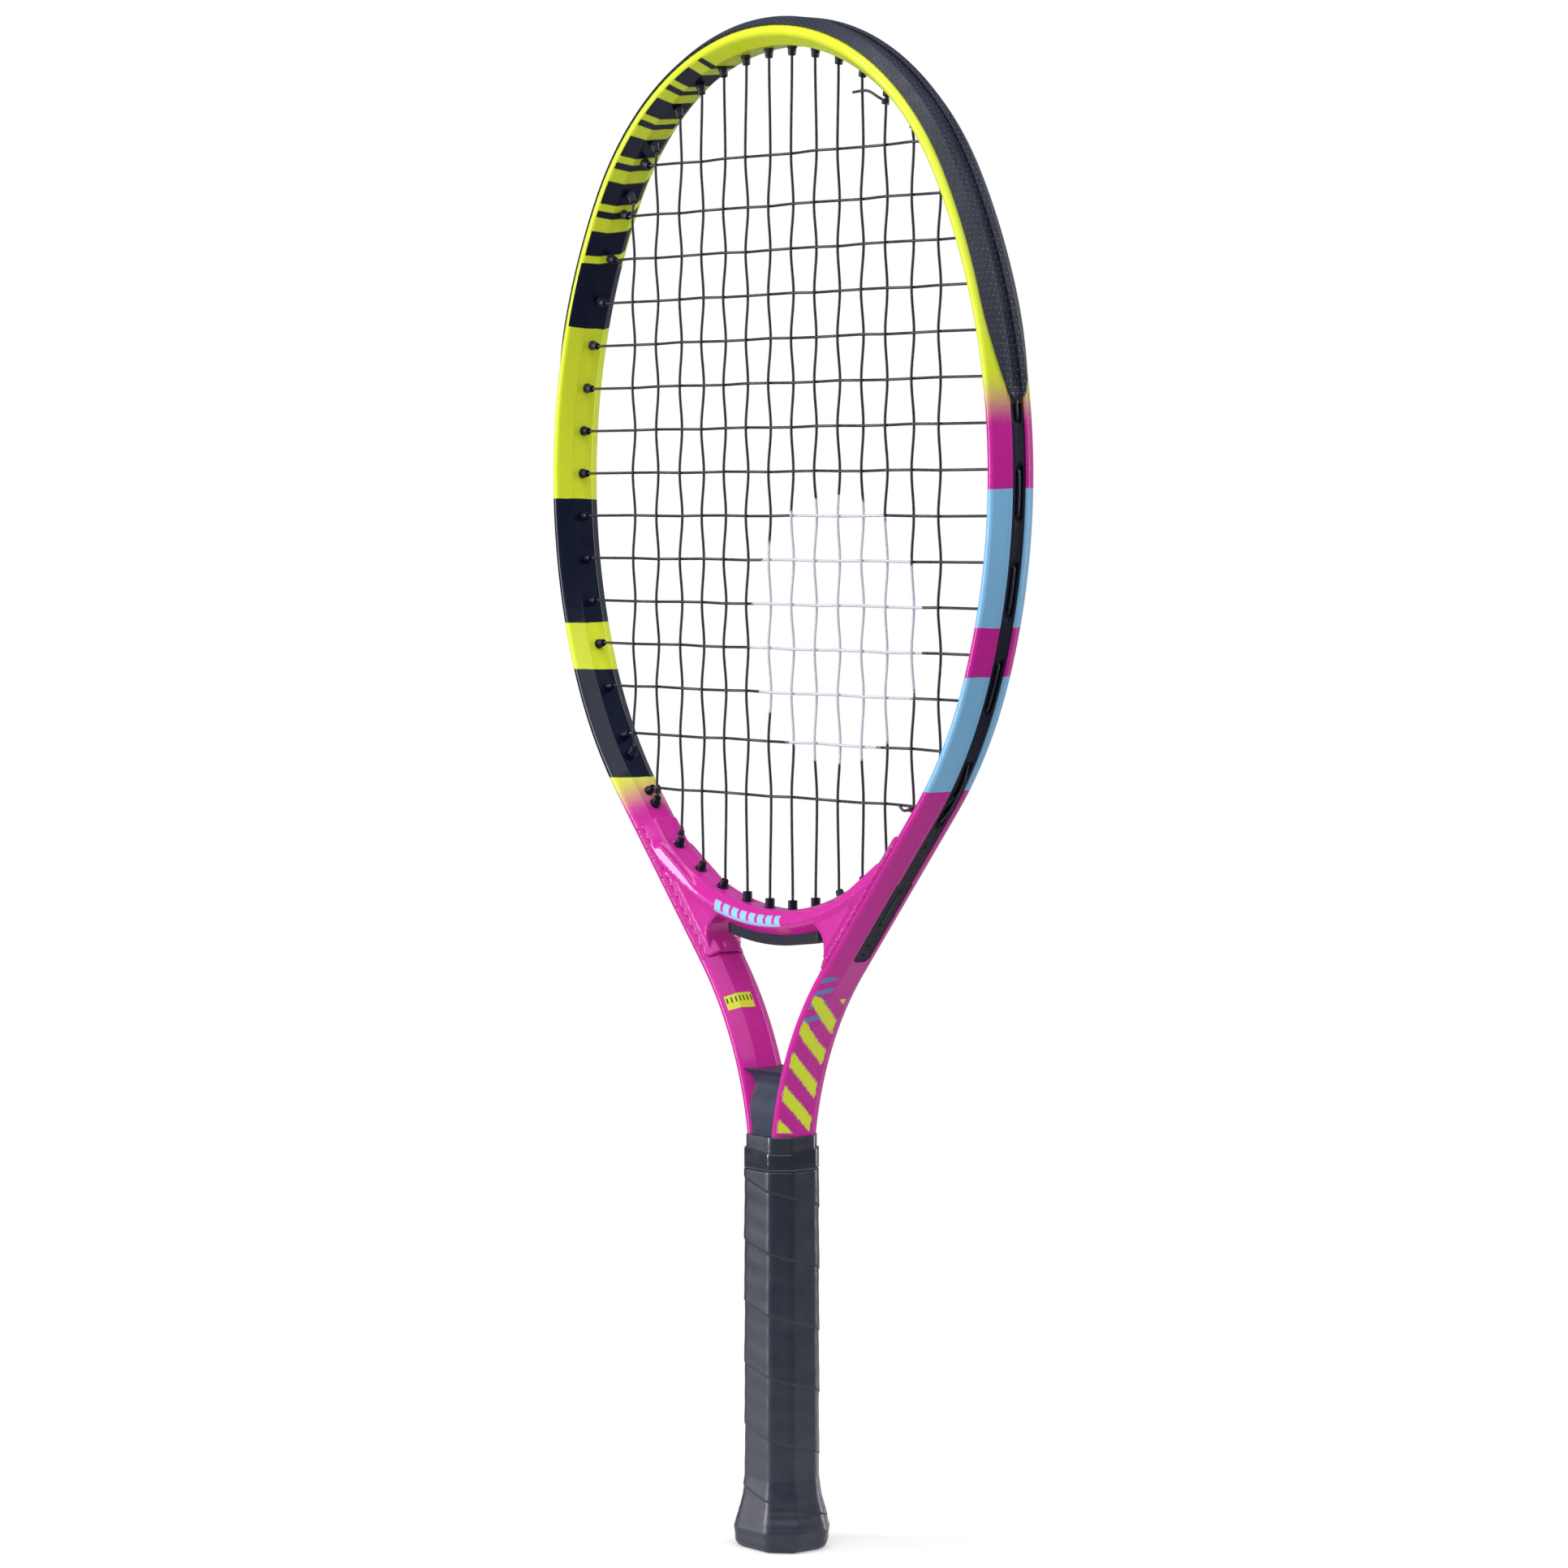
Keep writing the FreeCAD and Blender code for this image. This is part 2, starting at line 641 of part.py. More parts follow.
def string_solid(points):
    """Round string along a polyline: cylinders that meet on their mitre planes."""
    faces = []
    directions = [(points[k + 1] - points[k]).normalize() for k in range(len(points) - 1)]
    seam = directions[0].cross(Vector(0.31, 0.73, 0.6)).normalize()
    reach = 2.5 * string_radius
    for k, direction in enumerate(directions):
        start, end = points[k], points[k + 1]
        side = direction.cross(seam)
        barrel = Part.makeCylinder(string_radius, (end - start).Length + 2 * reach)
        base = start - direction * reach
        barrel.Placement = Placement(Matrix(seam.x, side.x, direction.x, base.x,
                                            seam.y, side.y, direction.y, base.y,
                                            seam.z, side.z, direction.z, base.z, 0, 0, 0, 1))
        before = direction if k == 0 else (directions[k - 1] + direction).normalize()
        after = direction if k == len(directions) - 1 else (direction + directions[k + 1]).normalize()
        for point, normal, keep in ((start, before, 1), (end, after, -1)):
            block = Part.makePlane(400, 400, point, normal)
            centre = block.BoundBox.Center
            block.translate(point - centre)
            barrel = barrel.common(block.Faces[0].extrude(normal * keep * 400))
        ends = [start] * (k == 0) + [end] * (k == len(directions) - 1)
        for f in barrel.Faces:
            flat = f.Surface.TypeId == "Part::GeomPlane"
            if not flat or any(f.CenterOfMass.distanceToPoint(p) < 1e-3 for p in ends):
                faces.append(f)
        if k < len(directions) - 1:
            seam = seam - after * (2 * seam.dot(after))
    shell = Part.makeCompound(faces)
    shell.sewShape()
    return Part.Solid(shell.Shells[0])


def flip(points, side):
    return [Vector(side * p.x, p.y, p.z) for p in points]


def tube_run(first, second, shift):
    """Outside run between two grommets of one side, from the first tip to the second tip."""
    start = first.on_offset(string_floor)
    end = second.on_offset(string_floor)
    sense = 1 if end[0] > start[0] else -1
    step = 0.9
    count = max(2, int(abs(end[0] - start[0]) / 6))
    points = [first.tip, start[1]]
    for k in range(count + 1):
        share = k / count
        station = start[0] + sense * step + (end[0] - start[0] - 2 * sense * step) * share
        y = shift if 0 < k < count else shift * 0.35
        points.append(point_at(station, run_offset, y))
    return points + [end[1], second.tip]


def tail(grommet, shift, sense):
    """A tied string's end, tucked into the channel beyond its grommet."""
    station, exit_point = grommet.on_offset(string_floor)
    points = [grommet.tip, exit_point]
    for reach, share in ((0.9, 0.35), (2.6, 1.0)):
        points.append(point_at(station + sense * reach, run_offset, shift * share))
    return points


def throat_run(first_x, second_x):
    """Run under the bridge between two of its own mains."""
    floor = bridge_under + size("throat_strip_height") - 1.9
    run = floor + string_radius + 0.15
    sense = 1 if second_x > first_x else -1

    def tip(x):
        return Vector(x, 0, bridge_surface(x, size("bridge_radius")) + size("barrel_reach"))

    points = [tip(first_x), Vector(first_x, 0, bridge_surface(first_x, floor))]
    inner = second_x - first_x - 1.8 * sense
    for share in (0, 0.5, 1):
        x = first_x + 0.9 * sense + inner * share
        points.append(Vector(x, 0, bridge_surface(x, run)))
    return points + [Vector(second_x, 0, bridge_surface(second_x, floor)), tip(second_x)]


def crosses_main(column, row):
    """True where a main column and a cross row meet inside the head."""
    reach = cross_grommets[row].tip.x
    low = low_tip(column).z
    return abs(column) < reach and low < CROSSES[row] < top_grommets[MAINS.index(abs(column))].tip.z


def low_tip(column):
    k = MAINS.index(abs(column))
    if k < MAINS_IN_BRIDGE:
        return Vector(column, 0, bridge_surface(column, size("bridge_radius")) + size("barrel_reach"))
    tip = low_grommets[k - MAINS_IN_BRIDGE].tip
    return Vector(math.copysign(tip.x, column), 0, tip.z)


ALL_MAINS = [-x for x in reversed(MAINS)] + MAINS


def weave_sign(column_index, row):
    return 1 if (column_index + row) % 2 == 0 else -1


def passes_between(first, second, others):
    low, high = sorted((first.on_offset(string_floor)[0], second.on_offset(string_floor)[0]))
    return any(low < g.on_offset(string_floor)[0] < high for g in others)


side_shift = size("channel_width") / 2 - string_radius - 0.05


def main_string():
    route = flip(list(reversed(tail(low_grommets[-1], -side_shift, 1))), -1)
    upward = True
    for index, column in enumerate(ALL_MAINS):
        rows = [r for r in range(len(CROSSES)) if crosses_main(column, r)]
        if upward:
            rows.reverse()
        route += [Vector(column, size("weave") * weave_sign(index, r), CROSSES[r]) for r in rows]
        side = 1 if column > 0 else -1
        k = MAINS.index(abs(column))
        if index == len(ALL_MAINS) - 1:
            route += tail(low_grommets[-1], -side_shift, 1)
            break
        following = ALL_MAINS[index + 1]
        nearest = MAINS.index(abs(following))
        if upward and side * following < 0:
            route += crown_run(top_grommets[0])
        elif upward:
            route += flip(main_run(top_grommets, k, nearest), side)
        elif max(k, nearest) < MAINS_IN_BRIDGE:
            route += throat_run(column, following)
        else:
            lows = [None] * MAINS_IN_BRIDGE + low_grommets
            route += flip(main_run(lows, k, nearest), side)
        upward = not upward
    return feature("main_string", string_solid(thin(route)))


def main_run(grommets, k, following):
    first, second = grommets[k], grommets[following]
    shift = -side_shift if passes_between(first, second, cross_grommets) else 0
    return tube_run(first, second, shift)


def crown_run(grommet):
    """Run over the middle of the crown between the two central mains."""
    station, exit_point = grommet.on_offset(string_floor)
    half = [grommet.tip, exit_point, point_at(station - 0.9, run_offset)]
    return flip(half, -1) + [point_at(0, run_offset)] + list(reversed(half))


def cross_string():
    first = cross_grommets[0]
    route = list(reversed(tail(first, side_shift, -1)))
    side = 1
    mains = top_grommets + low_grommets
    for row, z in enumerate(CROSSES):
        columns = [i for i, x in enumerate(ALL_MAINS) if crosses_main(x, row)]
        if side == 1:
            columns.reverse()
        route += [Vector(ALL_MAINS[i], -size("weave") * weave_sign(i, row), z) for i in columns]
        side = -side
        if row == len(CROSSES) - 1:
            route += flip(tail(cross_grommets[row], side_shift, -1), side)
            break
        pair = cross_grommets[row], cross_grommets[row + 1]
        shift = side_shift if passes_between(pair[0], pair[1], mains) else 0
        route += flip(tube_run(pair[0], pair[1], shift), side)
    return feature("cross_string", string_solid(thin(route)))


def thin(points):
    """Drops repeated points."""
    kept = [points[0]]
    for point in points[1:]:
        if point.distanceToPoint(kept[-1]) > 1e-4:
            kept.append(point)
    return kept


def tie_off_knots():
    """Knots in front of the string bed where the two strings are tied off."""
    radius = size("knot_size") / 2
    front = -(size("weave") + string_radius + radius + 0.1)
    outer = MAINS[-2]
    inner = MAINS[-3]
    clear = radius + 0.5
    spots = [(inner, top_grommets[-3].tip.z - clear), (outer, low_tip(outer).z + clear),
             (-outer, low_tip(outer).z + clear), (-inner, low_tip(inner).z + clear)]
    return feature("tie_off_knots", Part.makeCompound(
        [Part.makeSphere(radius, Vector(x, front, z)) for x, z in spots]))


# ---------------------------------------------------------------- handle, wedge, butt

def octagon(width, depth, bevel):
    """Corners of a bevelled rectangle, anticlockwise."""
    across, through = width / 2, depth / 2
    return [(across, through - bevel), (across - bevel, through), (bevel - across, through),
            (-across, through - bevel), (-across, bevel - through), (bevel - across, -through),
            (across - bevel, -through), (across, bevel - through)]


OCTAGON_SIGNS = [(1, 0, 1, -1), (1, -1, 1, 0), (-1, 1, 1, 0), (-1, 0, 1, -1),
                 (-1, 0, -1, 1), (-1, 1, -1, 0), (1, -1, -1, 0), (1, 0, -1, 1)]


def plane_of(body, role):
    return next(item for item in body.Origin.OriginFeatures if item.Role == role)


def octagon_sketch(body, name, width, depth, bevel):
    """Sketch on the body's XY plane whose eight corners follow the sheet."""
    sketch = body.newObject("Sketcher::SketchObject", name)
    sketch.AttachmentSupport = (plane_of(body, "XY_Plane"), [""])
    sketch.MapMode = "FlatFace"
    corners = octagon(size(width), size(depth), size(bevel))
    for k in range(8):
        start, end = corners[k], corners[(k + 1) % 8]
        sketch.addGeometry(Part.LineSegment(Vector(start[0], start[1], 0), Vector(end[0], end[1], 0)))
    for k in range(8):
        sketch.addConstraint(Sketcher.Constraint("Coincident", k, 2, (k + 1) % 8, 1))
    for k, (x_sign, x_bevel, y_sign, y_bevel) in enumerate(OCTAGON_SIGNS):
        for kind, value, sign, share, total in (("DistanceX", corners[k][0], x_sign, x_bevel, width),
                                                ("DistanceY", corners[k][1], y_sign, y_bevel, depth)):
            index = sketch.addConstraint(Sketcher.Constraint(kind, -1, 1, k, 1, value))
            sketch.setExpression("Constraints[%d]" % index, "%d * sizes.%s / 2 + %d * sizes.%s"
                                 % (sign, total, share, bevel))
    return sketch


def pallet_body():
    """Octagonal handle core, full size down to the butt cap and reduced inside it."""
    body = doc.addObject("PartDesign::Body", "pallet")
    grip = body.newObject("PartDesign::Pad", "pallet_grip")
    grip.Profile = octagon_sketch(body, "pallet_outline", "pallet_width", "pallet_depth", "pallet_bevel")
    grip.setExpression("Length", "sizes.handle_top - sizes.cap_height")
    grip.Profile[0].setExpression("AttachmentOffset.Base.z", "sizes.cap_height")
    spigot = body.newObject("PartDesign::Pad", "pallet_spigot")
    spigot.Profile = octagon_sketch(body, "spigot_outline", "spigot_width", "spigot_depth", "pallet_bevel")
    spigot.setExpression("Length", "sizes.cap_height - sizes.spigot_bottom")
    spigot.Profile[0].setExpression("AttachmentOffset.Base.z", "sizes.spigot_bottom")
    return body


def box(name, low, high):
    piece = doc.addObject("Part::Box", name)
    piece.Length, piece.Width, piece.Height = high.x - low.x, high.y - low.y, high.z - low.z
    piece.Placement.Base = low
    return piece


def handle_shells(staple_tool):
    pallet = pallet_body()
    low = station_at_height(handle_top + 6, 0)
    shafts = feature("shaft_envelope",
                     both_pair(swept(hull_profile(size("shaft_gap")), low, tube_length)))
    hollow = cut("pallet_hollow", pallet, shafts)
    stapled = cut("pallet_stapled", hollow, staple_tool)
    shells = []
    half_gap = size("split_gap") / 2
    for name, side in (("front_handle_shell", -1), ("rear_handle_shell", 1)):
        near, far = side * half_gap, side * 40
        low, high = min(near, far), max(near, far)
        half = box(name + "_side", Vector(-40, low, -5), Vector(40, high, handle_top + 5))
        shell = doc.addObject("Part::Common", name)
        shell.Base, shell.Tool = stapled, half
        shells.append(shell)
    return shells


def both_pair(shape):
    return Part.makeCompound([shape, mirrored(shape)])


def shaft_wedge():
    """Moulded filler between the converging shafts, hollowed below the top edge of both faces."""
    top = handle_top + size("wedge_rise")
    bottom = handle_top + 0.3
    half = size("wedge_depth") / 2
    reach = centre_at(station_at_height(top, 0))[0]
    low_reach = centre_at(station_at_height(bottom, 0))[0]
    block = Part.Face(Part.makePolygon([Vector(-low_reach, -half, bottom), Vector(low_reach, -half, bottom),
                                        Vector(reach, -half, top), Vector(-reach, -half, top),
                                        Vector(-low_reach, -half, bottom)])).extrude(Vector(0, 2 * half, 0))
    radius = size("scoop_radius")
    away = half + radius - size("scoop_depth")
    scoops = [Part.makeCylinder(radius, 2 * reach, Vector(-reach, side * away, top - size("scoop_drop")),
                                Vector(1, 0, 0)) for side in (-1, 1)]
    base = feature("wedge_block", block.cut(scoops))
    low = station_at_height(top + 8, 0)
    shafts = feature("wedge_shafts", both_pair(swept(hull_profile(size("seat_gap")), low, tube_length)))
    return cut("shaft_wedge", base, shafts)


def octagon_wire(width, depth, bevel, z):
    points = [Vector(x, y, z) for x, y in octagon(width, depth, bevel)]
    return Part.makePolygon(points + [points[0]])


def octagon_loft(rings):
    """Straight-sided solid through (extra, z) rings, each that much wider than the handle shells."""
    wires = [octagon_wire(size("pallet_width") + extra, size("pallet_depth") + extra,
                          size("pallet_bevel") + extra * 0.29, z) for extra, z in rings]
    return Part.makeLoft(wires, True, True)


def butt_rings(extra):
    """Flared butt from its foot up to the cap's top edge."""
    flare, foot = size("flare"), size("foot_inset")
    low, high = size("flare_height"), size("cap_height")
    return [(extra + flare - 2 * foot, 0.0), (extra + flare - foot * 0.5, foot * 0.55),
            (extra + flare, foot + 0.9), (extra + flare, low), (extra + flare * 0.62, low + 5.5),
            (extra + flare * 0.22, high - 5.5), (extra, high)]


def butt_cap(staple_tool):
    solid = octagon_loft(butt_rings(0))
    gap = size("cap_wall_gap")
    socket = Part.Face(octagon_wire(size("spigot_width") + 2 * gap, size("spigot_depth") + 2 * gap,
                                    size("pallet_bevel"), size("spigot_bottom") - gap))
    solid = solid.cut(socket.extrude(Vector(0, 0, size("cap_height"))))
    recess = Part.makeCylinder(size("badge_size") / 2 + gap, size("badge_depth") + gap)
    base = feature("butt_cap_blank", solid.cut(recess))
    return cut("butt_cap", base, staple_tool)


def end_badge():
    disc = doc.addObject("Part::Cylinder", "end_badge")
    disc.setExpression("Radius", "sizes.badge_size / 2")
    disc.setExpression("Height", "sizes.badge_depth - 0.2")
    disc.Placement.Base = Vector(0, 0, 0.2)
    return disc


def staples():
    """Two staples through the cap into each shell, and the slots they leave."""
    wire, crown, leg = size("staple_wire"), size("staple_crown"), size("staple_leg")
    surface = size("pallet_depth") / 2 + size("flare") * 0.2
    z = size("staple_height")

    def staple(side, grow):
        parts = []
        for left, right, deep in ((-crown / 2, crown / 2, wire), (-crown / 2, wire - crown / 2, leg),
                                  (crown / 2 - wire, crown / 2, leg)):
            low = Vector(left - grow, surface - deep - grow, z - grow)
            high = Vector(right + grow, surface + grow, z + wire + grow)
            span = high - low
            parts.append(Part.makeBox(span.x, span.y, span.z, low))
        shape = parts[0].fuse(parts[1:]).removeSplitter()
        return shape if side > 0 else shape.mirror(ORIGIN, Vector(0, 1, 0))

    metal = feature("butt_cap_staples", Part.makeCompound([staple(-1, 0), staple(1, 0)]))
    slots = feature("staple_slots", Part.makeCompound([staple(-1, 0.05), staple(1, 0.05)]))
    return metal, slots


def grip_wrap():
    gap = size("seat_gap")
    thickness = size("wrap_thickness")
    top = handle_top - size("wrap_below_top")
    inner = butt_rings(2 * gap) + [(2 * gap, top + 1)]
    outer = [(extra + 2 * (thickness - gap), z) for extra, z in butt_rings(2 * gap)]
    outer = outer[:-1] + [(2 * thickness, size("cap_height")), (2 * thickness, top)]
    shell = octagon_loft(outer).cut(octagon_loft(inner))
    below = Part.makeBox(80, 80, size("wrap_bottom") + 40, Vector(-40, -40, -40))
    return feature("grip_wrap", shell.cut(below))


def ring(name, outer, bottom, top, tools):
    """Octagonal sleeve: outer (width, depth), with everything in tools taken out."""
    bevel = size("pallet_bevel") + (outer[0] - size("pallet_width")) * 0.29
    solid = Part.Face(octagon_wire(outer[0], outer[1], bevel, bottom)).extrude(Vector(0, 0, top - bottom))
    return feature(name, solid.cut(tools))


def grip_collar():
    gap = size("seat_gap")
    bottom = handle_top - size("wrap_below_top") + 0.1
    top = handle_top + size("collar_rise")
    core = Part.Face(octagon_wire(size("pallet_width") + 2 * gap, size("pallet_depth") + 2 * gap,
                                  size("pallet_bevel"), bottom - 1))
    core = core.extrude(Vector(0, 0, handle_top + 0.1 - bottom + 1))
    low = station_at_height(top + 8, 0)
    shaft = swept(hull_profile(gap), low, tube_length)
    filler = Part.makeBox(size("pallet_width") * 0.5, size("wedge_depth") + 2 * gap, top - handle_top + 2,
                          Vector(-size("pallet_width") * 0.25, -size("wedge_depth") / 2 - gap, handle_top))
    return ring("grip_collar", (size("collar_width"), size("collar_depth")), bottom, top,
                [core, shaft, mirrored(shaft), filler])


def finishing_tape():
    gap = size("seat_gap")
    bottom = handle_top - size("wrap_below_top") + 0.1
    top = handle_top + size("tape_rise")
    bevel = size("pallet_bevel") + (size("collar_width") - size("pallet_width")) * 0.29
    core = Part.Face(octagon_wire(size("collar_width") + 2 * gap, size("collar_depth") + 2 * gap,
                                  bevel, bottom - 1)).extrude(Vector(0, 0, top - bottom + 2))
    wrap = 2 * size("wrap_thickness")
    outer = (size("pallet_width") + wrap, size("pallet_depth") + wrap)
    return ring("finishing_tape", outer, bottom, top, [core])


# ---------------------------------------------------------------- build, check and write

staple_metal, staple_slots = staples()
pieces = [frame_tube(), throat_bridge(), bumper_guard()] + side_strips()
pieces += [throat_grommet_strip(), main_string(), cross_string(), tie_off_knots(), shaft_wedge()]
pieces += handle_shells(staple_slots)
pieces += [butt_cap(staple_slots), end_badge(), staple_metal]
pieces += [grip_wrap(), grip_collar(), finishing_tape()]
for piece in pieces:
    piece.Label = piece.Name
doc.recompute()

for item in doc.Objects:
    if "Invalid" in item.State or "Error" in item.State:
        raise RuntimeError("%s did not build: %s" % (item.Name, item.State))
for piece in pieces:
    if piece.Shape.isNull() or not piece.Shape.isValid():
        raise RuntimeError("%s has no valid shape" % piece.Label)
    print("%-22s %3d solids %10.1f mm3" % (piece.Label, len(piece.Shape.Solids), piece.Shape.Volume))

os.makedirs("parts", exist_ok=True)
for piece in pieces:
    piece.Shape.exportStep("parts/%s.step" % piece.Label)
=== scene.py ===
import math
import bpy
import bmesh
from mathutils import Matrix, Vector


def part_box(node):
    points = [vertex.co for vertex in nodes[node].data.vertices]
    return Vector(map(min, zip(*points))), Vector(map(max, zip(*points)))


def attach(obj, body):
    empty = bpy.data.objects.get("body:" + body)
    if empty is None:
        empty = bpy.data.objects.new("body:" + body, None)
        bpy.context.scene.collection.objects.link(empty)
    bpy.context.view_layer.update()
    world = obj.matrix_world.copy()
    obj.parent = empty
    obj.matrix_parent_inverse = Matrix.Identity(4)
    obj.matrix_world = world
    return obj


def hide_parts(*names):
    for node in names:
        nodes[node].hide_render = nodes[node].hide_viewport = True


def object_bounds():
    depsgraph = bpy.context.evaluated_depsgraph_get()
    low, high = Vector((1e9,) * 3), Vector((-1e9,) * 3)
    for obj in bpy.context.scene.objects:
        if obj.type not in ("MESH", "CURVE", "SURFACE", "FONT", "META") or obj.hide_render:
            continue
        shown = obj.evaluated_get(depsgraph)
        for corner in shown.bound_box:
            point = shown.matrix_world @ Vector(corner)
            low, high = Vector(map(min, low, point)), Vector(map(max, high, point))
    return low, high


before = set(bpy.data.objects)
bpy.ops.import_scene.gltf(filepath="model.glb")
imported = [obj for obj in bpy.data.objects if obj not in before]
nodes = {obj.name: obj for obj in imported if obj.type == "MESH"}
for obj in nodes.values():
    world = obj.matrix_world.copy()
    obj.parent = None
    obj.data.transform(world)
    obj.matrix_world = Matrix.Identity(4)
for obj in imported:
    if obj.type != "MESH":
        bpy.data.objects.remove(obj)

# Junior tennis racket, standing on its butt. X across the string plane, -Y the front, Z up. Sizes in mm.
MM = 0.001
cad_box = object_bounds()


def node_box(name):
    low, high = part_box(name)
    return low / MM, high / MM


# ---------------------------------------------------------------- sizes of the frame
tube_low, tube_high = node_box("frame_tube")
bumper_low = node_box("bumper_guard")[0]
strip_low = node_box("right_grommet_strip")[0]
wrap_high = node_box("grip_wrap")[1]
collar_low, collar_high = node_box("grip_collar")
tape_low, tape_high = node_box("finishing_tape")
wedge_low, wedge_high = node_box("shaft_wedge")
cap_low = node_box("butt_cap")[0]

HALF_WIDTH = 4.5  # tube across the string plane
HALF_DEPTH = 9.4  # tube through the string plane, nose to nose
HALF_FLAT = 4.3  # inner and outer flats
NOSE = 2.0  # radius of the front and rear noses
EDGE = 0.9  # radius between the flats and the slanting facets
GROOVE_HALF, GROOVE_DEPTH = 2.9, 1.8
TAIL_HALF, TAIL_ROUND, TAIL_LENGTH = 3.5, 2.4, 28.0  # the side strips' wide lower ends
STRING = 0.48  # radius
WEAVE = 0.54  # crossing strings stand this far off the mid plane
CHANNEL = 1.95  # half width of the string channel
BRIDGE_RADIUS = 95.8
REACH = 3.3  # grommet barrels beyond the inner surface
SHAFT_SPACING = 10.8
NEAR_CROWN = 1e-6  # stands in for station 0, where the two branches meet
BENDS = ((107.5, 59.7), (199.0, 50.4), (146.0, 20.2))  # radius and degrees, from the crown down
NECK = 118.0  # radius of the reverse bend above the shafts
crown_top = tube_high.z - HALF_WIDTH
tube_end = tube_low.z
groove_floor = HALF_WIDTH - GROOVE_DEPTH
string_floor = groove_floor + 0.7
run_offset = string_floor + 0.76
tip_offset = HALF_WIDTH + REACH


def hairpin():
    """Arcs and straights of the right half: (start, x, z, heading, length, radius)."""
    spans = []
    x, z, heading, start = 0.0, crown_top, 0.0, 0.0

    def along(span, run):
        _, x0, z0, turn, _, radius = span
        if radius == 0:
            return x0 + math.cos(turn) * run, z0 - math.sin(turn) * run, turn
        new = turn + run / radius
        return (x0 + radius * (math.sin(new) - math.sin(turn)),
                z0 + radius * (math.cos(new) - math.cos(turn)), new)

    def add(length, radius):
        nonlocal x, z, heading, start
        span = (start, x, z, heading, length, radius)
        spans.append(span)
        x, z, heading = along(span, length)
        start += length

    for radius, turn in BENDS:
        add(radius * math.radians(turn), radius)
    add((x - NECK * (1 - math.sin(heading)) - SHAFT_SPACING / 2) / -math.cos(heading), 0)
    add(NECK * (heading - math.pi / 2), -NECK)
    add(z - tube_end, 0)
    return spans, along


SPANS, along_span = hairpin()
TOTAL = SPANS[-1][0] + SPANS[-1][4]
WIDEST = SPANS[0][4] + SPANS[1][5] * (math.pi / 2 - SPANS[1][3])


def centre(station):
    """x, z and heading of the centreline there."""
    for span in SPANS:
        if station <= span[0] + span[4]:
            return along_span(span, station - span[0])
    return along_span(SPANS[-1], station - SPANS[-1][0])


def at(station, offset, y=0.0):
    """Point beside the centreline; a negative station is on the left branch."""
    side = -1 if station < 0 else 1
    x, z, heading = centre(abs(station))
    return Vector((side * (x + offset * math.sin(heading)), y, z + offset * math.cos(heading)))


def outward(station):
    """Unit vector in the string plane, square to the tube and away from the strings."""
    heading = centre(abs(station))[2]
    return Vector((math.copysign(math.sin(heading), station), 0, math.cos(heading)))


def bisect(function, low, high):
    """Where function crosses zero between low and high."""
    rising = function(high) > function(low)
    for _ in range(50):
        middle = (low + high) / 2
        if (function(middle) > 0) == rising:
            high = middle
        else:
            low = middle
    return (low + high) / 2


def station_at(z, offset=0.0):
    """Station of the right branch at that height."""
    return bisect(lambda s: at(s, offset).z - z, 0, TOTAL)


def ramp(start, end, step):
    """Evenly spaced numbers from start to end, no further apart than step."""
    count = max(1, int(math.ceil(abs(end - start) / step)))
    return [start + (end - start) * k / count for k in range(count + 1)]


# ---------------------------------------------------------------- mesh building

def placed(name, data):
    made = bpy.data.objects.new(name, data)
    bpy.context.scene.collection.objects.link(made)
    return made


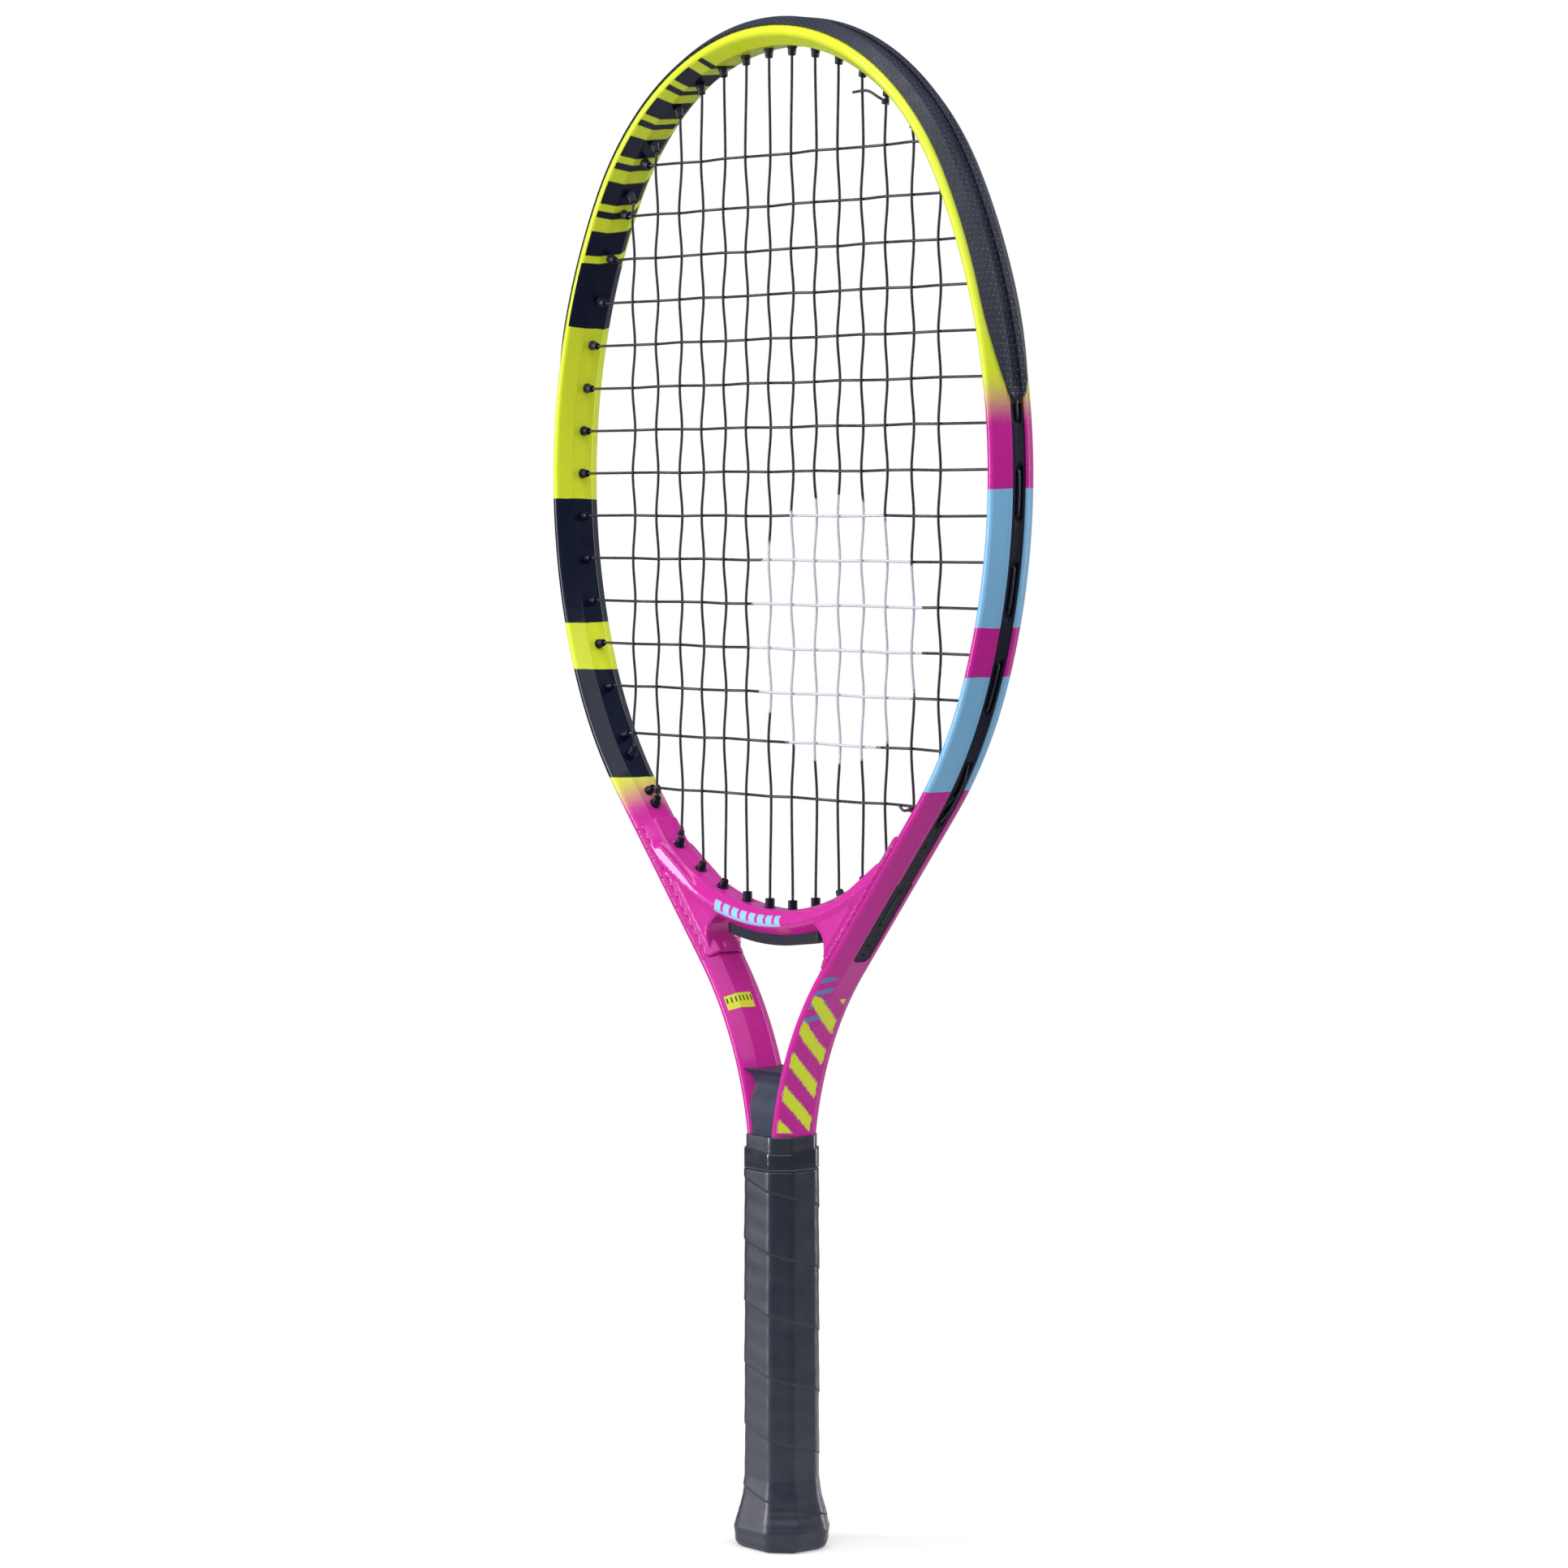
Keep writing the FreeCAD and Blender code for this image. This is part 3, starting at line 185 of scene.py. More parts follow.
class Shell:
    """Points, faces and a map in millimetres, gathered into one piece."""

    def __init__(self):
        self.points, self.faces, self.map = [], [], []

    def grid(self, rings, along, around, closed=True, caps=(False, False)):
        """Quads between neighbouring rings; along and around give the map's two coordinates."""
        base, count = len(self.points), len(rings[0])
        for ring in rings:
            self.points += ring
        for i in range(len(rings) - 1):
            for j in range(count if closed else count - 1):
                k = (j + 1) % count
                first, second = base + i * count, base + (i + 1) * count
                self.faces.append((first + j, first + k, second + k, second + j))
                self.map += [(along[i], around[j]), (along[i], around[j + 1]),
                             (along[i + 1], around[j + 1]), (along[i + 1], around[j])]
        last = base + (len(rings) - 1) * count
        for wanted, start, u in ((caps[0], base, along[0]), (caps[1], last, along[-1])):
            if wanted:
                self.faces.append(tuple(range(start, start + count)))
                self.map += [(u, around[j]) for j in range(count)]
        return self

    def lathe(self, origin, axis, profile, sides=20):
        """Turned form about an axis through origin; profile is (distance along, radius) pairs."""
        axis = Vector(axis).normalized()
        first = axis.orthogonal().normalized()
        second = axis.cross(first)
        angles = [2 * math.pi * k / sides for k in range(sides)]
        rings = [[origin + axis * t + (first * math.cos(a) + second * math.sin(a)) * r for a in angles]
                 for t, r in profile]
        width = max(r for _, r in profile)
        around = [width * 2 * math.pi * k / sides for k in range(sides + 1)]
        return self.grid(rings, [t for t, _ in profile], around, caps=(True, True))

    def thread(self, points, radius, sides=10):
        """Round strand along points."""
        tangents = []
        for k in range(len(points)):
            before = points[max(k - 1, 0)]
            after = points[min(k + 1, len(points) - 1)]
            tangents.append((after - before).normalized())
        side = tangents[0].orthogonal().normalized()
        rings, run, lengths = [], 0.0, []
        for k, point in enumerate(points):
            if k:
                side = (side - tangents[k] * side.dot(tangents[k])).normalized()
                run += (point - points[k - 1]).length
            other = tangents[k].cross(side)
            rings.append([point + (side * math.cos(a) + other * math.sin(a)) * radius
                          for a in (2 * math.pi * j / sides for j in range(sides))])
            lengths.append(run)
        around = [2 * math.pi * radius * j / sides for j in range(sides + 1)]
        return self.grid(rings, lengths, around, caps=(True, True))

    def piece(self, name, material, slot, node, sharp, weighted=True):
        """The gathered shape as one object that stands for the CAD node."""
        mesh = bpy.data.meshes.new(name)
        mesh.from_pydata([p * MM for p in self.points], [], self.faces)
        layer = mesh.uv_layers.new(name="run")
        for loop, value in zip(layer.data, self.map):
            loop.uv = value
        work = bmesh.new()
        work.from_mesh(mesh)
        bmesh.ops.recalc_face_normals(work, faces=work.faces)
        work.to_mesh(mesh)
        work.free()
        mesh.shade_smooth()
        mesh.set_sharp_from_angle(angle=math.radians(sharp))
        made = placed(name, mesh)
        mesh.materials.append(material)
        if weighted:
            shading = made.modifiers.new("shading", "WEIGHTED_NORMAL")
            shading.keep_sharp = True
        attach(made, "root")
        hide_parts(node)


def rounded(corners, steps=4):
    """Closed outline through (x, y, radius) corners, each rounded in the same number of steps."""
    points = []
    for k, (x, y, radius) in enumerate(corners):
        corner = Vector((x, y))
        before = Vector(corners[k - 1][:2]) - corner
        after = Vector(corners[(k + 1) % len(corners)][:2]) - corner
        if radius <= 0:
            points.append(corner)
            continue
        half = before.angle(after) / 2
        bisector = (before.normalized() + after.normalized()).normalized()
        middle = corner + bisector * (radius / math.sin(half))
        start = corner + before.normalized() * (radius / math.tan(half)) - middle
        end = corner + after.normalized() * (radius / math.tan(half)) - middle
        turn = start.angle(end)
        if turn < 1e-4:
            points.append(corner)
            continue
        for j in range(steps + 1):
            share = j / steps
            points.append(middle + (start * math.sin((1 - share) * turn) + end * math.sin(share * turn))
                          / math.sin(turn))
    return points


def lengths_round(outline):
    """Distance along a closed outline at each point, and all the way round."""
    way, lengths = 0.0, [0.0]
    for a, b in zip(outline, outline[1:] + outline[:1]):
        way += (b - a).length
        lengths.append(way)
    return lengths


def sharp_apex():
    """Where the tube's slanting facets would meet if the noses were not rounded."""
    tip = HALF_DEPTH
    for _ in range(40):
        half = math.atan2(HALF_WIDTH, tip - HALF_FLAT)
        tip = HALF_DEPTH + NOSE * (1 / math.sin(half) - 1)
    return tip


APEX = sharp_apex()
FACET = math.hypot(HALF_WIDTH, APEX - HALF_FLAT)
HALF_ROUND = 2 * FACET + 2 * HALF_FLAT  # from the front ridge to the rear one


def girth(n, y):
    """Distance round the tube from its front ridge: positive on the inner side, negative on the outer."""
    if abs(n) >= HALF_WIDTH - 2.0 and abs(y) <= HALF_FLAT + 0.1:
        way = FACET + (y + HALF_FLAT)
    else:
        run = abs(n) / HALF_WIDTH * FACET
        way = run if y < 0 else HALF_ROUND - run
    return -way if n > 0 else way


# ---------------------------------------------------------------- node building

def srgb(red, green, blue):
    def linear(value):
        value /= 255
        return value / 12.92 if value <= 0.04045 else ((value + 0.055) / 1.055) ** 2.4
    return linear(red), linear(green), linear(blue), 1.0


class Finish:
    """A procedural material round one Principled shader."""

    def __init__(self, name, **constants):
        self.material = bpy.data.materials.new(name)
        self.material.use_nodes = True
        self.tree = self.material.node_tree
        self.shader = self.tree.nodes["Principled BSDF"]
        for key, value in constants.items():
            self.shader.inputs[key.replace("_", " ")].default_value = value
        coordinates = self.tree.nodes.new("ShaderNodeTexCoord")
        self.place = coordinates.outputs["Object"]
        run = self.tree.nodes.new("ShaderNodeUVMap")
        run.uv_map = "run"
        self.run = run.outputs["UV"]

    def put(self, value, socket):
        """Link an output, or set a constant."""
        if isinstance(value, bpy.types.NodeSocket):
            self.tree.links.new(value, socket)
        else:
            socket.default_value = value

    def math(self, operation, first, second=0.0):
        node = self.tree.nodes.new("ShaderNodeMath")
        node.operation = operation
        for value, socket in zip((first, second), node.inputs):
            self.put(value, socket)
        return node.outputs[0]

    def add(self, first, second):
        return self.math("ADD", first, second)

    def minus(self, first, second):
        return self.math("SUBTRACT", first, second)

    def times(self, *values):
        result = values[0]
        for value in values[1:]:
            result = self.math("MULTIPLY", result, value)
        return result

    def phase(self, value, period):
        """How far through its period a value is, 0 to 1."""
        return self.math("FRACT", self.times(value, 1 / period))

    def radius(self, x, y):
        return self.math("SQRT", self.add(self.times(x, x), self.times(y, y)))

    def split(self, vector):
        node = self.tree.nodes.new("ShaderNodeSeparateXYZ")
        self.put(vector, node.inputs[0])
        return node.outputs

    def join(self, x, y, z=0.0):
        node = self.tree.nodes.new("ShaderNodeCombineXYZ")
        for value, socket in zip((x, y, z), node.inputs):
            self.put(value, socket)
        return node.outputs[0]

    def stretch(self, vector, scale):
        node = self.tree.nodes.new("ShaderNodeMapping")
        self.put(vector, node.inputs["Vector"])
        node.inputs["Scale"].default_value = scale
        return node.outputs[0]

    def noise(self, vector, scale, detail=2.0, rough=0.5):
        node = self.tree.nodes.new("ShaderNodeTexNoise")
        self.put(vector, node.inputs["Vector"])
        for key, value in (("Scale", scale), ("Detail", detail), ("Roughness", rough)):
            node.inputs[key].default_value = value
        return node.outputs["Fac"]

    def cells(self, vector, scale):
        node = self.tree.nodes.new("ShaderNodeTexVoronoi")
        self.put(vector, node.inputs["Vector"])
        node.inputs["Scale"].default_value = scale
        return node.outputs["Distance"]

    def fit(self, value, low, high, new_low=0.0, new_high=1.0, smooth=False):
        """Low to high becomes new_low to new_high, clamped."""
        node = self.tree.nodes.new("ShaderNodeMapRange")
        node.interpolation_type = "SMOOTHSTEP" if smooth else "LINEAR"
        for number, socket in zip((value, low, high, new_low, new_high), node.inputs):
            self.put(number, socket)
        return node.outputs[0]

    def vary(self, scale, detail, low, high):
        """A value that wanders between low and high over the object."""
        return self.fit(self.noise(self.place, scale, detail), 0.3, 0.7, low, high)

    def within(self, value, low, high, soft=0.12):
        """1 between low and high, 0 outside."""
        up = self.fit(value, low - soft, low + soft)
        down = self.fit(value, high - soft, high + soft, 1.0, 0.0)
        return self.times(up, down)

    def mix(self, factor, first, second):
        node = self.tree.nodes.new("ShaderNodeMix")
        node.data_type = "RGBA"
        self.put(factor, node.inputs["Factor"])
        colours = [socket for socket in node.inputs if socket.type == "RGBA"]
        for value, socket in zip((first, second), colours):
            self.put(value, socket)
        return next(socket for socket in node.outputs if socket.type == "RGBA")

    def colour(self, value):
        self.put(value, self.shader.inputs["Base Color"])

    def rough(self, value):
        self.put(value, self.shader.inputs["Roughness"])

    def bump(self, height, distance, strength=1.0, under=None):
        """Relief so many millimetres high, on top of the one under it."""
        node = self.tree.nodes.new("ShaderNodeBump")
        node.inputs["Strength"].default_value = strength
        node.inputs["Distance"].default_value = distance * MM
        self.put(height, node.inputs["Height"])
        if under is not None:
            self.put(under, node.inputs["Normal"])
        self.put(node.outputs[0], self.shader.inputs["Normal"])
        return node.outputs[0]


YELLOW = srgb(226, 240, 52)
NAVY = srgb(8, 18, 44)
MAGENTA = srgb(204, 36, 156)
SKY = srgb(136, 194, 236)


def shade(colour, factor):
    return tuple(channel * factor for channel in colour[:3]) + (1.0,)


def lacquer_skin(f, scale, height):
    """Uneven gloss, soft flow marks and fine grain."""
    f.rough(f.vary(130.0, 4.0, 0.20, 0.34))
    flow = f.bump(f.noise(f.place, scale, 2.0), height, 0.35)
    f.bump(f.noise(f.place, 2600.0, 2.0), 0.012, 0.25, flow)


def gloss_paint():
    """Banded lacquer over metal: the bands follow the tube, as masked spray does."""
    f = Finish("frame_lacquer", Specular_IOR_Level=0.12, Coat_Weight=0.45, Coat_Roughness=0.06, Coat_IOR=1.45)
    u, v, _ = f.split(f.run)
    wander = f.vary(60.0, 3.0, -0.35, 0.35)
    left = f.fit(u, -0.5, 0.5, 1.0, 0.0)
    distance = f.math("ABSOLUTE", f.add(u, wander))
    speckled = f.add(distance, f.fit(f.noise(f.place, 2600.0, 2.0), 0.2, 0.8, -2.5, 2.5))
    _, _, up = f.split(f.place)
    height = f.add(f.times(up, 1000.0), wander)

    def bands(colour, fade_top, fade_bottom, *zones):
        """Yellow that fades to magenta, with flat bands of another colour over both."""
        faded = f.fit(speckled, station_at(fade_top), station_at(fade_bottom), smooth=True)
        paint = f.mix(faded, YELLOW, MAGENTA)
        for top, bottom in zones:
            paint = f.mix(f.within(height, bottom, top), paint, colour)
        return paint

    def span(top, bottom, soft):
        """1 between two heights, measured along the tube."""
        return f.within(distance, station_at(top), station_at(bottom), soft)

    left_paint = bands(NAVY, 267.5, 252.0, (367, 322), (305, 266.5))
    right_paint = bands(SKY, 409.0, 390.0, (370, 324.2), (307.7, 269.1))

    # navy dashes round the upper left of the inner side, then a solid stretch below them
    dashes_end = station_at(452.0)
    wave = f.phase(f.add(distance, f.times(v, 0.16)), 20.5)
    dash = f.math("MAXIMUM", f.within(wave, 0.06, 0.52, 0.012), f.within(wave, 0.66, 0.80, 0.012))
    core = f.within(v, 2.2, FACET + 2 * HALF_FLAT + 4.0, 0.06)
    dash = f.times(dash, core, f.within(distance, 31.0, dashes_end, 0.15))
    tail = f.times(f.within(distance, dashes_end - 1, station_at(430.0), 0.15), f.within(v, 1.2, 40.0, 0.1))
    left_paint = f.mix(f.math("MAXIMUM", dash, tail), left_paint, NAVY)
    # plain yellow tag with slim bars on the left shaft
    tag = f.times(span(191.0, 186.2, 0.08), f.within(v, 3.2, 14.2, 0.08))
    bars = f.times(f.within(f.math("FRACT", f.times(v, 0.62)), 0.28, 0.62, 0.06), span(190.2, 188.4, 0.08))
    left_paint = f.mix(tag, left_paint, YELLOW)
    left_paint = f.mix(f.times(tag, bars), left_paint, NAVY)
    # brushed yellow slashes and short blue ones on the right shaft's outer side
    streaks = f.noise(f.join(f.times(u, 0.35), f.times(v, 2.4)), 1.2, 4.0, 0.7)
    ragged = f.fit(streaks, 0.3, 0.7, -1.0, 1.0)
    slant = f.add(f.add(distance, f.times(v, 0.95)), ragged)
    stroke = f.within(f.phase(slant, 13.0), 0.15, 0.60, 0.02)
    ends = f.within(f.add(v, ragged), -15.5, -2.6, 0.1)
    brushed = f.times(stroke, ends, span(197.0, 147.0, 0.3))
    right_paint = f.mix(brushed, right_paint, YELLOW)
    leaning = f.within(f.phase(f.add(distance, f.times(v, -0.8)), 6.2), 0.2, 0.58, 0.03)
    mark = f.times(leaning, f.within(v, -7.6, -2.4, 0.1), span(205.0, 186.0, 0.3))
    right_paint = f.mix(f.times(mark, f.minus(1.0, brushed)), right_paint, srgb(92, 138, 198))

    # painted shade: a darker magenta line beside the front ridge, where the bridge wing's edge steps onto the tube
    seam = f.times(f.within(v, 0.25, 0.75, 0.06), span(252.0, 206.0, 0.3))
    right_paint = f.mix(seam, right_paint, srgb(96, 12, 66))
    paint = f.mix(left, right_paint, left_paint)
    cloud = f.vary(22.0, 3.0, 0.0, 0.14)
    paint = f.mix(cloud, paint, f.mix(0.35, paint, (0.0, 0.0, 0.0, 1.0)))
    # painted sheen: pale near-white streaks drawn out along the tube, mixed over the paint
    scuffs_and_sheen = f.fit(f.noise(f.stretch(f.run, (0.35, 1.6, 1.0)), 1.1, 5.0, 0.72), 0.75, 0.82, 0.0, 0.25)
    f.colour(f.mix(scuffs_and_sheen, paint, srgb(214, 210, 214)))
    lacquer_skin(f, 480.0, 0.05)
    return f.material


def bridge_paint():
    """Magenta lacquer with a pale barred strip across the front."""
    f = Finish("bridge_lacquer", Specular_IOR_Level=0.15, Coat_Weight=0.7, Coat_Roughness=0.06, Coat_IOR=1.45)
    x, y, z = f.split(f.place)
    front = f.fit(y, -0.003, -0.0045)
    low = f.minus(z, f.times(f.math("POWER", x, 2.0), 5.1))
    slant = f.add(x, f.times(low, 0.45))
    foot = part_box("throat_grommet_strip")[0].z + 0.0062
    bar = f.times(f.within(low, foot + 0.0006, foot + 0.0043, 0.0001),
                  f.within(slant, 0.071, 0.108, 0.0002), front)
    dashes = f.within(f.math("FRACT", f.times(slant, 210.0)), 0.10, 0.78, 0.03)
    solid = f.fit(low, foot + 0.0014, foot + 0.0016, 1.0, 0.0)
    mask = f.times(bar, f.math("MAXIMUM", dashes, solid))
    cloud = f.vary(22.0, 3.0, 0.0, 0.12)
    paint = f.mix(cloud, MAGENTA, srgb(198, 60, 160))
    f.colour(f.mix(mask, paint, srgb(150, 200, 235)))
    lacquer_skin(f, 420.0, 0.06)
    return f.material


def moulded(name, tint, low, high, dots=False, dull=0.0):
    """Moulded nylon with flow marks; the bumper adds rows of small raised dots, each painted lighter as a glint."""
    f = Finish(name, Specular_IOR_Level=0.35 if dots else 0.2)
    smear = f.noise(f.place, 45.0, 4.0, 0.6)
    tone = f.mix(f.fit(smear, 0.35, 0.7, 0.0, 0.6), tint, shade(tint, 1.9))
    scuff = f.fit(f.noise(f.stretch(f.place, (1.0, 1.0, 0.25)), 900.0, 4.0, 0.75), 0.68, 0.76, 0.0, 0.22)
    scuffs_and_sheen = f.mix(scuff, tone, srgb(120, 122, 134))
    f.colour(scuffs_and_sheen)
    f.rough(f.fit(f.noise(f.place, 260.0, 4.0, 0.6), 0.3, 0.7, low, high))
    fine = f.bump(f.noise(f.place, 1900.0, 3.0, 0.6), 0.03 + dull, 0.5)
    if dots:
        u, v, _ = f.split(f.run)
        along, across = 2.0, 1.7  # millimetres between the dots
        row = f.math("FLOOR", f.times(u, 1 / along))
        odd = f.math("MODULO", f.math("ABSOLUTE", row), 2.0)
        shifted = f.add(f.times(v, 1 / across), f.times(odd, 0.5))
        du = f.times(f.minus(f.phase(u, along), 0.5), along)
        dv = f.times(f.minus(f.math("FRACT", shifted), 0.5), across)
        dot = f.fit(f.radius(du, dv), 0.18, 0.46, 1.0, 0.0, smooth=True)
        # painted glint: each raised dot is painted lighter than the nylon round it
        f.colour(f.mix(f.times(dot, 0.45), scuffs_and_sheen, srgb(104, 110, 134)))
        f.bump(dot, 0.34, 1.0, fine)
    return f.material


def string_finish():
    """Coated nylon: dark with a faint lengthwise sheen, and one plain white disc stencilled on."""
    f = Finish("string_nylon", Specular_IOR_Level=0.4)
    x, _, z = f.split(f.place)
    u, v, _ = f.split(f.run)
    far = f.radius(f.minus(x, 0.030), f.minus(z, 0.322))
    edge = f.add(far, f.vary(500.0, 2.0, -0.0012, 0.0012))
    disc = f.fit(edge, 0.0462, 0.0470, 1.0, 0.0)
    wear = f.fit(f.noise(f.stretch(f.run, (0.6, 2.0, 1.0)), 1.6, 4.0, 0.7), 0.34, 0.62, 0.55, 1.0)
    twist = f.math("SINE", f.times(f.add(f.times(v, 1.8), u), 7.0))
    dark = f.mix(f.fit(f.noise(f.run, 0.5, 3.0), 0.35, 0.65), srgb(26, 25, 34), srgb(52, 50, 64))
    f.colour(f.mix(f.times(disc, wear), dark, srgb(222, 221, 232)))
    f.rough(f.fit(f.noise(f.run, 2.0, 3.0), 0.3, 0.7, 0.26, 0.44))
    f.bump(twist, 0.012, 0.5)
    return f.material


WRAP_PITCH = 21.7
WRAP_PHASE = 119.4 + WRAP_PITCH * 141 / 360


def grip_finish():
    """Semi-gloss synthetic leather with fine pores and pulled creases, and painted shade along the seams."""
    f = Finish("grip_leather", Specular_IOR_Level=0.5, Coat_Weight=0.35, Coat_Roughness=0.3)
    pull = f.noise(f.stretch(f.run, (0.30, 0.12, 1.0)), 1.0, 3.0, 0.5)
    tone = f.mix(f.fit(pull, 0.3, 0.7), srgb(15, 19, 38), srgb(23, 28, 51))
    rub = f.fit(f.noise(f.place, 70.0, 5.0, 0.65), 0.52, 0.75, 0.0, 0.35)
    tone = f.mix(rub, tone, srgb(44, 49, 68))
    x, y, z = f.split(f.place)
    degrees = f.times(f.math("ARCTAN2", x, f.times(y, -1.0)), 180 / math.pi)
    below = f.minus(f.minus(WRAP_PHASE, f.times(degrees, WRAP_PITCH / 360)), f.times(z, 1000.0))
    from_middle = f.math("ABSOLUTE", f.minus(f.phase(below, WRAP_PITCH), 0.5))
    from_seam = f.times(f.minus(0.5, from_middle), WRAP_PITCH)
    # painted shade: near black along the spiral seams, where the lapped edges would shade them
    f.colour(f.mix(f.fit(from_seam, 0.2, 0.55, 0.95, 0.0, smooth=True), tone, srgb(4, 5, 9)))
    f.rough(f.vary(120.0, 4.0, 0.34, 0.52))
    pores = f.bump(f.cells(f.place, 1500.0), 0.05, 0.35)
    crease = f.bump(pull, 0.09, 0.35, pores)
    f.bump(f.noise(f.place, 260.0, 3.0, 0.5), 0.06, 0.35, crease)
    return f.material


def vinyl_finish(name, tint, low, high):
    """Glossy film or rubber with soft waves."""
    f = Finish(name, Coat_Weight=0.6, Coat_Roughness=0.08)
    wave = f.noise(f.stretch(f.place, (1.0, 1.0, 2.4)), 95.0, 3.0)
    f.colour(f.mix(f.fit(wave, 0.3, 0.7), tint, shade(tint, 1.7)))
    f.rough(f.vary(240.0, 3.0, low, high))
    soft = f.bump(wave, 0.5, 0.35)
    f.bump(f.noise(f.place, 1600.0, 2.0), 0.02, 0.3, soft)
    return f.material


PAINT = gloss_paint()
BRIDGE = bridge_paint()
BUMPER = moulded("bumper_nylon", srgb(27, 31, 46), 0.36, 0.52, dots=True)
NYLON = moulded("grommet_nylon", srgb(13, 16, 34), 0.34, 0.50)
WEDGE = moulded("wedge_nylon", srgb(46, 50, 68), 0.30, 0.42)
CAP = moulded("cap_nylon", srgb(30, 32, 44), 0.42, 0.60, dull=0.04)
BADGE = moulded("badge_nylon", srgb(40, 42, 54), 0.22, 0.34)
SHELLS = moulded("shell_foam", srgb(78, 78, 84), 0.60, 0.80, dull=0.08)
THREAD = string_finish()
LEATHER = grip_finish()
VINYL = vinyl_finish("tape_vinyl_gloss", srgb(26, 28, 40), 0.12, 0.24)
RUBBER = vinyl_finish("collar_rubber_satin", srgb(30, 32, 44), 0.30, 0.45)


# ---------------------------------------------------------------- frame tube

def tube_ring(station, groove_half, depth):
    """One section of the tube and the girth at each of its points."""
    floor = HALF_WIDTH - depth
    points = rounded([
        (0, APEX, NOSE), (HALF_WIDTH, HALF_FLAT, EDGE),
        (HALF_WIDTH, groove_half, 0), (floor, groove_half, 0),
        (floor, -groove_half, 0), (HALF_WIDTH, -groove_half, 0), (HALF_WIDTH, -HALF_FLAT, EDGE),
        (0, -APEX, NOSE), (-HALF_WIDTH, -HALF_FLAT, EDGE), (-HALF_WIDTH, HALF_FLAT, EDGE)], steps=6)
    points = points[3:] + points[:3]  # from the middle of the rear ridge, where the map is cut
    around = [girth(p.x, p.y) for p in points]
    around[0] = -HALF_ROUND
    return [at(station, p.x, p.y) for p in points], around + [HALF_ROUND]


def mirrored(half):
    """Stations from the left end to the right one, from those of the right half."""
    return [-s for s in reversed(half)][:-1] + half


tail_bottom = station_at(strip_low.z, HALF_WIDTH)
tail_top = station_at(strip_low.z + TAIL_LENGTH, HALF_WIDTH)
tail_round = tail_bottom - TAIL_ROUND  # where the tail's end starts to round


def groove_at(station):
    """Half width and depth of the outer groove, widened at the strips' tails and closed below them."""
    s = abs(station)
    if s < tail_top:
        return GROOVE_HALF, GROOVE_DEPTH
    if s < tail_round:
        return TAIL_HALF, GROOVE_DEPTH
    if s < tail_bottom:
        half = TAIL_HALF - TAIL_ROUND + math.sqrt(max(TAIL_ROUND ** 2 - (s - tail_round) ** 2, 0.0))
        return half, GROOVE_DEPTH
    return 0.05, 0.0


def frame_tube():
    half = ramp(0.0, tail_top - 0.3, 2.2) + ramp(tail_top, tail_round, 2.2)
    half += ramp(tail_round + 0.25, tail_bottom - 0.02, 0.25)
    half += ramp(tail_bottom + 0.02, TOTAL, 2.4)
    stations = mirrored(half)
    sections = [tube_ring(s or NEAR_CROWN, *groove_at(s)) for s in stations]
    shell = Shell().grid([ring for ring, _ in sections], stations, sections[-1][1], caps=(True, True))
    shell.piece("painted_tube", PAINT, "frame_paint", "frame_tube", sharp=50)


# ---------------------------------------------------------------- string layout

columns = [6.3, 18.9, 31.5, 44.1, 56.7, 70.5, 84.3]
crosses = [crown_top - 41.6]
for gap in [17.6] + [15.4] * 11 + [17.1, 19.2]:
    crosses.append(crosses[-1] - gap)
bridge_middle = crown_top - 304.3 + BRIDGE_RADIUS


def bridge_z(x):
    """Height of the bridge's upper edge."""
    return bridge_middle - math.sqrt(BRIDGE_RADIUS ** 2 - x ** 2)


class Grommet:
    """A string hole: the barrel's tip, the way into the frame and the station."""

    def __init__(self, tip, along, station):
        self.tip, self.station = tip, station
        self.direction = (outward(station) * 0.6 + Vector(along) * 0.4).normalized()

    def exit(self, offset):
        """Station and point where the hole comes out at that offset."""
        def side(s):
            return (at(s, offset) - self.tip).cross(self.direction).y
        s = bisect(side, self.station - 18, self.station + 18)
        return s, at(s, offset)


def cross_grommet(z):
    s = station_at(z, -tip_offset)
    return Grommet(at(s, -tip_offset), (1, 0, 0), s)


def top_grommet(x):
    s = bisect(lambda t: at(t, -tip_offset).x - x, 0, WIDEST)
    return Grommet(at(s, -tip_offset), (0, 0, 1), s)


def low_grommet(x):
    s = bisect(lambda t: at(t, -tip_offset).x - x, WIDEST, SPANS[4][0])
    tip = at(s, -tip_offset)
    if bridge_z(x) + REACH > tip.z:
        tip = Vector((x, 0, bridge_z(x) + REACH))
    return Grommet(tip, (0, 0, -1), s)


side_grommets = [cross_grommet(z) for z in crosses]
top_grommets = [top_grommet(x) for x in columns]
low_grommets = [low_grommet(x) for x in columns[2:]]
bumper_end = station_at(bumper_low.z, HALF_WIDTH)
SHIFT = CHANNEL - STRING - 0.12
all_mains = [-x for x in reversed(columns)] + columns


def flip(points, side=-1):
    return [Vector((side * p.x, p.y, p.z)) for p in points]


def low_tip(x):
    k = columns.index(abs(x))
    return bridge_z(x) + REACH if k < 2 else low_grommets[k - 2].tip.z


def meets(x, row):
    """Whether that main string crosses that cross string."""
    return (abs(x) < side_grommets[row].tip.x
            and low_tip(x) < crosses[row] < top_grommets[columns.index(abs(x))].tip.z)


def outside_run(first, second, shift):
    """Loop in the outer channel between two grommets, from tip to tip."""
    start, end = first.exit(string_floor), second.exit(string_floor)
    sense = 1 if end[0] > start[0] else -1
    points = [first.tip, start[1]]
    for s in ramp(start[0] + sense * 1.0, end[0] - sense * 1.0, 2.0):
        share = (s - start[0]) / (end[0] - start[0])
        lift = 0.12 * math.sin(math.pi * share) - 0.1
        points.append(at(s, run_offset + lift, shift * min(1.0, 4 * share, 4 * (1 - share))))
    return points + [end[1], second.tip]


